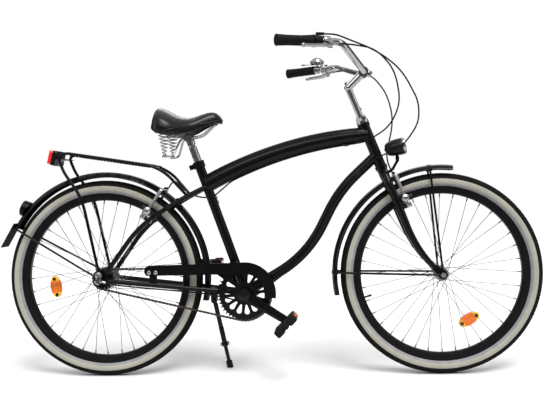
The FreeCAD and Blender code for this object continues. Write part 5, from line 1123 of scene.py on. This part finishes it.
for word in ("left", "right"):
    softened("brake_lever_" + word, word + "BrakeLever", "silver", 2.2)
softened("brake_lever_clamps", "leverClamps", "silver", 0.9)
leverBolts()
print("levers done")


# bell: a turned crown nut and a rolled lip on the dome
bell = {"place": 121.0, "stand": 24.5, "lip": (25.6, 1.9, 1.0),
        "nut": [(20.5, 5.2), (22.5, 5.2), (23.7, 4.4), (24.7, 2.6), (25.1, 1.0)]}


def bellTrim():
    base = barPoint(1, bell["place"]) + Vector((0, 0, bell["stand"]))
    nut = lathe(bell["nut"], 18)
    lip = hoop(roundProfile(*bell["lip"]), 40)
    pose = Matrix.Translation(base * mm)
    settle(joinPieces([placed(nut, pose), placed(lip, pose)]), "bellTrim", "steer", "chrome")


bellTrim()


# headlight: a rounder shell, fluted bowl, bulb, ribbed front ring and side screws
lamp = {"tilt": 12.0, "tail": (7, 0, 64), "crown": 390.0, "ribs": 36, "ribBand": (63.0, 67.5),
        "rib": (0.3, 0.6), "screwAt": (44.0, 23.6), "screw": (3.4, 2.2),
        "shell": [(1.2, -0.6), (8.8, 1.6), (16.2, 6), (21.6, 13), (24.8, 21), (26.6, 30), (27.6, 42),
                  (27.8, 62), (27.1, 62), (26.4, 42), (25.4, 30), (23.6, 21), (20.4, 13.6), (15, 7.2),
                  (8, 3), (1, 1)],
        "bowl": [(26, 7), (34, 14), (46, 19.6), (58, 23.2), (65, 24.4), (65, 23.8), (58, 22.6), (46, 19),
                 (34, 13.4), (28, 8)],
        "bulb": [(27, 3.4), (38, 3.4), (39, 4.6), (43, 5.4), (47, 4.9), (50, 3.2), (51.4, 1.2)],
        "ring": [(26.6, 62.0), (27.9, 62.0), (28.3, 63.0), (28.3, 67.5), (27.8, 69.4), (25.4, 70.4),
                 (24.8, 69.8), (26.6, 68.4)]}


def lampPieces():
    angle = math.radians(lamp["tilt"])
    axis = Vector((math.cos(angle), 0, math.sin(angle)))
    tail = headFoot + headUp * lamp["crown"] + Vector(lamp["tail"])
    pose = poseAt(tail, axis)
    ring = hoop(lamp["ring"], 2 * lamp["ribs"])
    low, high = lamp["ribBand"]
    pickParts(ring, "FACE", lambda face: low < face.center.z / mm < high and abs(face.normal.z) < 0.2
              and onRib(face, lamp["ribs"]))
    land, rise = lamp["rib"]
    bpy.ops.mesh.inset(thickness=land * mm, depth=rise * mm, use_individual=True)
    leaveEdit()
    parts = (("lampShell", hoop(lamp["shell"], 48), "plastic", "black_plastic", 50.0),
             ("lampBowl", lathe(lamp["bowl"], 36), "bowl", "chrome", 60.0),
             ("lampBulb", lathe(lamp["bulb"], 18), "glass", "clear_lens", 60.0),
             ("lampRing", ring, "chrome", "chrome", 30.0))
    for name, piece, finishName, slotName, smoothAngle in parts:
        settle(placed(piece, pose), name, "front_light", finishName, smoothAngle)
    along, out = lamp["screwAt"]
    spots = [(tail + axis * along + across * (side * out), across * side) for side in (1, -1)]
    boltSet(spots, *lamp["screw"], "lampSideScrews", "front_light")


lampPieces()
print("headlight done")


# stem: a pinch boss under the bar clamp and bolts
stem = {"boss": (15.0, 22.0, 17.0), "bossAt": (9.0, 16.0), "bossRound": 3.0, "pinchAt": 7.4,
        "pinch": (4.6, 4.0), "quillAt": (604.0, 10.6), "quill": (4.2, 5.0)}


def stemPieces():
    way = (barClamp - stemKnee).normalized()
    down = Vector((way.z, 0, -way.x))
    ahead, below = stem["bossAt"]
    place = barClamp + way * ahead + down * below
    boss = placed(block(stem["boss"], (0, 0, 0), stem["bossRound"]), poseBy(place, way, across))
    settle(boss, "stemPinchBoss", "steer", "chrome")
    pinch = place + way * stem["pinchAt"]
    boltSet([(pinch, way)], *stem["pinch"], "stemPinchBolt", "steer", "chrome", "chrome")
    up, out = stem["quillAt"]
    quill = headFoot + headUp * up + headAhead * out
    boltSet([(quill, headAhead)], *stem["quill"], "quillBolt", "steer", "chrome", "chrome")


stemPieces()


# sleeves on the mudguard stays, rolled edges along both mudguards, straps and their screws
edging = {"size": 1.7, "sizeIn": (0.9, 0.7), "front": (83.0, 191.0), "rear": (-13.0, 151.0), "strap": 6.5,
          "strapGap": 0.3, "strapThick": 1.5, "strapEdge": 0.5, "screwAt": (2.0, 3.6), "screw": (3.2, 2.0),
          "stayRadius": 3.6, "stayEye": 14.0, "stayBend": 70.0, "stayEnd": (4.0, 2.0),
          "stayTip": (1.5, 0.7)}


def arcPose(centre, degrees):
    start = wheelPoint(Vector(), 1, degrees)
    return poseBy(centre, start, (-across).cross(start))


def rolledEdges(centre, word, body):
    start, end = edging[word]
    out, inset = edging["sizeIn"]
    made = []
    for side in (1, -1):
        wide = side * (mudguard["halfWidth"] - inset)
        profile = roundProfile(mudguard["edge"] + out, wide, edging["size"])
        made.append(placed(hoop(profile, 72, end - start), arcPose(centre, start)))
    settle(joinPieces(made), word + "MudguardEdges", body, "paint", 60.0)


def stayStraps(centre, word, body, directions):
    rise = mudguard["crown"] - mudguard["edge"]
    bend = (mudguard["halfWidth"] ** 2 + rise ** 2) / (2 * rise)
    reach = math.degrees(math.asin(mudguard["halfWidth"] / bend))
    inner = bend + edging["strapGap"]
    outer = inner + edging["strapThick"]
    half, edge = edging["strap"], edging["strapEdge"]
    profile = [(inner, -half), (outer - edge, -half), (outer, -half + edge), (outer, half - edge),
               (outer - edge, half), (inner, half)]
    up, aside = edging["screwAt"]
    straps = []
    spots = []
    for degrees in directions:
        out = wheelPoint(Vector(), 1, degrees)
        turn = math.radians(reach)
        start = out * math.cos(turn) - across * math.sin(turn)
        axis = out.cross(across)
        place = centre + out * (mudguard["crown"] - bend)
        straps.append(placed(hoop(profile, 18, 2 * reach), poseBy(place, start, axis.cross(start))))
        for side in (1, -1):
            foot = wheelPoint(centre, mudguard["edge"] + up, degrees, side * (mudguard["halfWidth"] + aside))
            spots.append((foot, across * side))
    settle(joinPieces(straps), word + "StayStraps", body, "paint")
    boltSet(spots, *edging["screw"], word + "StayScrews", body, "paint", "frame_paint")


def stayRods(centre, word, body, eyeSide, directions):
    # the stays are sleeved in black tube between the axle and the mudguard's edge
    size = edging["stayRadius"]
    up, aside = edging["stayEnd"]
    tip, share = edging["stayTip"]
    made = []
    for degrees in directions:
        for side in (1, -1):
            eye = wheelPoint(centre, edging["stayEye"], degrees, side * eyeSide)
            bend = wheelPoint(centre, edging["stayBend"], degrees, side * eyeSide)
            end = wheelPoint(centre, mudguard["edge"] + up, degrees, side * (mudguard["halfWidth"] + aside))
            for first, last in ((eye, bend), (bend, end)):
                length = (last - first).length
                stations = [(-tip, size * share), (0, size), (length, size), (length + tip, size * share)]
                made.append(placed(lathe(stations, 14), poseAt(first, last - first)))
    settle(joinPieces(made), word + "StaySleeves", body, "paint")


for word, centre, body, eyeSide, directions in (("front", frontAxle, "steer", 57.0, (95.5, 178.5)),
                                                ("rear", rearAxle, "frame", 67.0, (150.0,))):
    stayRods(centre, word, body, eyeSide, directions)
    rolledEdges(centre, word, body)
    stayStraps(centre, word, body, directions)
print("mudguards trimmed")


# red lens in the round reflector on the rear mudguard
rearLens = {"trail": 48.0, "tilt": 20.0, "seatIn": 8.0, "start": 25.0,
            "profile": [(-1, 24.6), (1.6, 24.6), (2.6, 23.4), (3.0, 21.6), (2.2, 20.8), (2.6, 12.3),
                        (2.8, 3)]}


def roundLens():
    tilt = math.radians(rearLens["tilt"])
    way = Vector((-math.cos(tilt), 0, math.sin(tilt)))
    seat = wheelPoint(rearAxle, mudguard["crown"] - rearLens["seatIn"], 90 + rearLens["trail"])
    lens = placed(lathe(rearLens["profile"], 40), poseAt(seat + way * rearLens["start"], way))
    settle(lens, "mudguardLens", "frame", "red")


roundLens()


# brakes: softened arms, pad nuts, stud bolts, cable anchors, wire and bellows
brakes = {"studSide": 51.0, "studEnd": 6.5, "studBolt": (5.6, 3.6), "padAlong": 25.0, "nutSide": 63.0,
          "padNut": (5.4, 4.0), "cableAt": (96.0, 4.0, 4.5), "cableBolt": (4.4, 3.6), "wireAlong": 114.0,
          "wireSide": 46.0, "frontStud": (1016.22, 559.42), "rearStud": (144.54, 537.43),
          "rearDegrees": 55.0}
bellows = {"lead": [(-2, 1.0), (20, 1.0), (20.4, 2.6), (22, 4.2)], "from": 22.0, "to": 52.0, "pitch": 4.0,
           "fold": [(1.2, 4.3), (2.4, 3.2), (3.2, 3.2), (4.0, 4.3)], "tail": [(2, 2.4), (2.4, 1.0)],
           "wireEnd": (88, 1.0)}


def brakeWire(place):
    # a wire between both arms that runs through a pleated rubber sleeve
    stations = list(bellows["lead"])
    along = bellows["from"]
    while along < bellows["to"]:
        stations += [(along + step, radius) for step, radius in bellows["fold"]]
        along += bellows["pitch"]
    stations += [(along + step, radius) for step, radius in bellows["tail"]]
    return placed(lathe(stations + [bellows["wireEnd"]], 16), poseAt(place, -across))


def brakeTrim(word, stud, outward, studWay, body):
    along, inset, proud = brakes["cableAt"]
    for sideWord, side in (("left", 1), ("right", -1)):
        armBody = word + "_brake_" + sideWord
        armName = word + sideWord.capitalize()
        softened(word + "_brake_arm_" + sideWord, armName + "BrakeArm", "brake", 1.4)
        pad = stud + outward * brakes["padAlong"] + across * (side * brakes["nutSide"])
        boltSet([(pad, across * side)], *brakes["padNut"], armName + "PadNut", armBody)
        tip = stud + outward * along + across * (side * (brakes["studSide"] - inset)) + studWay * proud
        boltSet([(tip, studWay)], *brakes["cableBolt"], armName + "CableBolt", armBody)
    spots = [(stud + across * (side * brakes["studSide"]) + studWay * brakes["studEnd"], studWay)
             for side in (1, -1)]
    boltSet(spots, *brakes["studBolt"], word + "StudBolts", body)
    wire = brakeWire(stud + outward * brakes["wireAlong"] + across * brakes["wireSide"])
    settle(wire, word + "BrakeBellows", body, "rubber", 50.0)


frontStud, rearStud = sidePoint(brakes["frontStud"]), sidePoint(brakes["rearStud"])
rearOut = wheelPoint(Vector(), 1, brakes["rearDegrees"])
rearStudWay = Vector((-rearOut.z, 0, rearOut.x))
brakeTrim("front", frontStud, headUp, headAhead, "steer")
brakeTrim("rear", rearStud, rearOut, rearStudWay, "frame")
print("brakes done")


# drive side: softened cranks, crank bolts and the chain guard's screws
driveTrim = {"crankFace": 83.5, "crankBolt": (9.0, 3.0), "guardFace": -57.75, "guardScrew": (3.0, 1.8),
             "guardScrews": ((159, 352), (182, 352))}
for word in ("right", "left"):
    softened("crank_arm_" + word, word + "Crank", "paint", 2.0)
boltSet([(crankAxle + across * (side * driveTrim["crankFace"]), across * side) for side in (1, -1)],
        *driveTrim["crankBolt"], "crankBolts", "crank", "plastic", "black_plastic")
boltSet([(Vector((x, driveTrim["guardFace"], z)), -across) for x, z in driveTrim["guardScrews"]],
        *driveTrim["guardScrew"], "guardScrews", "frame")
print("drive trimmed")


# kickstand: an outer sleeve with a clamp collar, and its screws
stand = {"pivot": (362, 41, 246), "end": (412, 83.7, -23.7), "screwAt": (161.0, 11.0), "screw": (3.8, 3.4),
         "sleeve": [(96, 7.4), (99, 8.6), (154, 8.6), (154.5, 10.6), (155.5, 11.2), (166.5, 11.2),
                    (167.5, 10.6), (168, 7.6)]}


def standSleeve():
    pivot = Vector(stand["pivot"])
    heading = (Vector(stand["end"]) - pivot).normalized()
    sleeve = placed(lathe(stand["sleeve"], 24), poseAt(pivot, heading))
    settle(sleeve, "standSleeve", "kickstand", "paint")
    side = heading.cross(across).normalized()
    along, out = stand["screwAt"]
    spots = [(pivot + heading * along + side * (way * out), side * way) for way in (1, -1)]
    boltSet(spots, *stand["screw"], "standScrews", "kickstand")


standSleeve()


# rack ribs under both rails, and a top tube with a fuller back
rack = {"front": (206, 702), "rear": (-112, 755), "side": 56.0, "ribs": 26, "from": 0.12, "span": 0.82,
        "rib": (7.5, 9.0, 8.0), "ribBelow": 4.5, "ribRound": 1.6}


def rackRibs():
    front, rear = sidePoint(rack["front"]), sidePoint(rack["rear"])
    way = (rear - front).normalized()
    poses = []
    for index in range(rack["ribs"]):
        place = front.lerp(rear, rack["from"] + rack["span"] * index / (rack["ribs"] - 1))
        for side in (1, -1):
            poses.append(poseBy(place + across * (side * rack["side"]), way, across))
    rib = block(rack["rib"], (0, 0, rack["ribBelow"]), rack["ribRound"])
    settle(joinPieces(copiesOf(rib, poses)), "rackRibs", "frame", "paint")


topTube = {"head": (892.68, 792.45), "seat": (351.9, 633.97), "rise": 31.0, "radius": 22.5, "swell": 10.0,
           "seatSwell": 9.0}


def fullerTopTube():
    # what lies above the tube's curved middle line is lifted, most at the seat
    head, seat = sidePoint(topTube["head"]), sidePoint(topTube["seat"])
    chord = seat - head
    lift = Vector((chord.z, 0, -chord.x)).normalized()
    tube = looseCopy(nodes["top_tube"])
    tidyMesh(tube)
    for vertex in tube.data.vertices:
        offset = fromRow @ vertex.co / mm - head
        share = max(0.0, min(1.0, offset.dot(chord) / chord.length_squared))
        height = offset.dot(lift) - 4 * topTube["rise"] * share * (1 - share)
        if height > 0:
            swell = topTube["swell"] * (0.5 + 2 * share * (1 - share)) + topTube["seatSwell"] * share ** 3
            vertex.co += leanSpin @ lift * (swell * height / topTube["radius"] * mm)
    pickOnly(tube)
    smoothBy(40)
    dress(tube, "fullerTopTube", "paint")
    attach(tube, "frame")
    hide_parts("top_tube")


rackRibs()
fullerTopTube()


# tail light and frame fasteners
fasteners = {"rackFoot": (-5, 80.2, 347), "rackBolt": (5.0, 3.2), "seatBoss": (333, 318),
             "tubeRadius": 15.9, "seatBolt": (4.0, 2.6)}


def frameFasteners():
    x, y, z = fasteners["rackFoot"]
    spots = [(Vector((x, y * side, z)), across * side) for side in (1, -1)]
    boltSet(spots, *fasteners["rackBolt"], "rackFootBolts", "frame")
    bosses = [(crankAxle + seatUp * along + seatAhead * fasteners["tubeRadius"], seatAhead)
              for along in fasteners["seatBoss"]]
    boltSet(bosses, *fasteners["seatBolt"], "seatTubeBolts", "frame")


frameFasteners()
softened("tail_light", "tailLightHousing", "plastic", 1.6)
softened("tail_light_lens", "tailLightLens", "tailLens", 2.4)
print("fasteners done")


# handlebar cables copied from the CAD piece, and ferrules at their stops
ferrules = {"bendFrom": (875, -18, 690), "bendTo": (955, -36, 765),
            "stops": (((858, -20.5, 669), (0.735, 0, 0.678)), ((822.1, -8, 761.7), (0.992, 0, 0.122))),
            "sleeve": [(-9, 3.2), (-8.4, 4.2), (-2, 4.2), (-1.6, 4.9), (1.6, 4.9), (2, 4.2), (6, 4.2),
                       (7, 3.2)]}


def steeringCables():
    copy = looseCopy(nodes["handlebar_cables"])
    tidyMesh(copy, 0.00005)
    smoothBy(40)
    dress(copy, "steeringCables", "rubber")
    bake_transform(copy)
    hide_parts("handlebar_cables")


def cableFerrules():
    poses = [poseAt(place, way) for place, way in ferrules["stops"]]
    sleeves = copiesOf(lathe(ferrules["sleeve"], 18), poses)
    settle(joinPieces(sleeves), "cableFerrules", "frame", "plastic")


steeringCables()
cableFerrules()
print("cables done")


# stage, light and camera
view = {"azimuth": 3.89, "elevation": 5.24, "distance": 2.604, "focal": 789.3, "target": (581.9, 0, 564.4),
        "roll": -1.51, "imageWidth": 550, "sensor": 36.0}
# each panel is a place, a width and height, and its power
studio = {"horizon": 0.15, "overhead": 0.9, "rampFrom": 0.15, "rampTo": 0.75, "backdrop": 1.0, "sun": 3.0,
          "sunAngle": 32.0, "sunWay": (-0.25, 0.45, -1), "floor": 7.0, "floorPale": 0.68,
          "aim": (0, 0, 0.5),
          "panels": (((-0.2, -2.4, 2.6), (2.6, 0.7), 24), ((-2.8, -0.6, 1.3), (0.8, 2.0), 12),
                     ((2.9, -0.4, 1.4), (0.8, 2.0), 12), ((0.2, 2.6, 2.2), (2.6, 0.8), 20))}


def addLight(name, kind, power, way):
    data = bpy.data.lights.new(name, kind)
    data.energy = power
    light = bpy.data.objects.new(name, data)
    light.rotation_euler = Vector(way).to_track_quat("-Z", "Y").to_euler()
    bpy.context.scene.collection.objects.link(light)
    return light


def setStage():
    freshStart()
    bpy.ops.mesh.primitive_plane_add(size=studio["floor"], location=(0, 0, -0.0005))
    floor = bpy.context.object
    floor.name = "paleFloor"
    pale = rgba(*[studio["floorPale"]] * 3)
    floor.data.materials.append(makeMaterial("paleFloor", {"Base Color": pale, "Roughness": 0.9,
                                                           "Specular IOR Level": 0.1}))
    world = bpy.data.worlds.new("studio")
    bpy.context.scene.world = world
    world.use_nodes = True
    tree = Wire(world.node_tree)
    seen = tree.node("ShaderNodeLightPath", {}, {})
    sky = world.node_tree.nodes["Background"]
    sky.inputs["Color"].default_value = rgba(1, 1, 1)
    # a dark room with a lit ceiling is what the metal mirrors, and the camera sees a white backdrop
    _, _, height = axes(tree, tree.node("ShaderNodeTexCoord", {}, {}))
    room = tree.node("ShaderNodeMapRange", {"interpolation_type": "SMOOTHSTEP"},
                     {"Value": height, "From Min": studio["rampFrom"], "From Max": studio["rampTo"],
                      "To Min": studio["horizon"], "To Max": studio["overhead"]})
    strength = room + seen * (studio["backdrop"] - room)
    world.node_tree.links.new(strength.socket, sky.inputs["Strength"])
    sun = addLight("overheadSoftbox", "SUN", studio["sun"], studio["sunWay"])
    sun.data.angle = math.radians(studio["sunAngle"])
    for place, (wide, tall), power in studio["panels"]:
        panel = addLight("softbox", "AREA", power, Vector(studio["aim"]) - Vector(place))
        panel.location = place
        panel.data.shape = "RECTANGLE"
        panel.data.size = wide
        panel.data.size_y = tall
    bpy.context.scene.view_settings.view_transform = "Standard"


def setCamera():
    azimuth, elevation, roll = (math.radians(view[key]) for key in ("azimuth", "elevation", "roll"))
    level = math.cos(elevation)
    back = Vector((math.sin(azimuth) * level, -math.cos(azimuth) * level, math.sin(elevation)))
    right = Vector((math.cos(azimuth), math.sin(azimuth), 0))
    up = back.cross(right)
    rolledRight = right * math.cos(roll) + up * math.sin(roll)
    rolledUp = up * math.cos(roll) - right * math.sin(roll)
    target = (Vector(view["target"]) - Vector(stance["centre"])) * mm
    data = bpy.data.cameras.new("photoCamera")
    data.sensor_fit = "HORIZONTAL"
    data.sensor_width = view["sensor"]
    data.lens = view["focal"] / view["imageWidth"] * view["sensor"]
    camera = bpy.data.objects.new("photoCamera", data)
    bpy.context.scene.collection.objects.link(camera)
    pose = Matrix((rolledRight, rolledUp, back)).transposed().to_4x4()
    pose.translation = target + back * view["distance"]
    camera.matrix_world = pose
    bpy.context.scene.camera = camera


setStage()
setCamera()
print("stage and camera set")
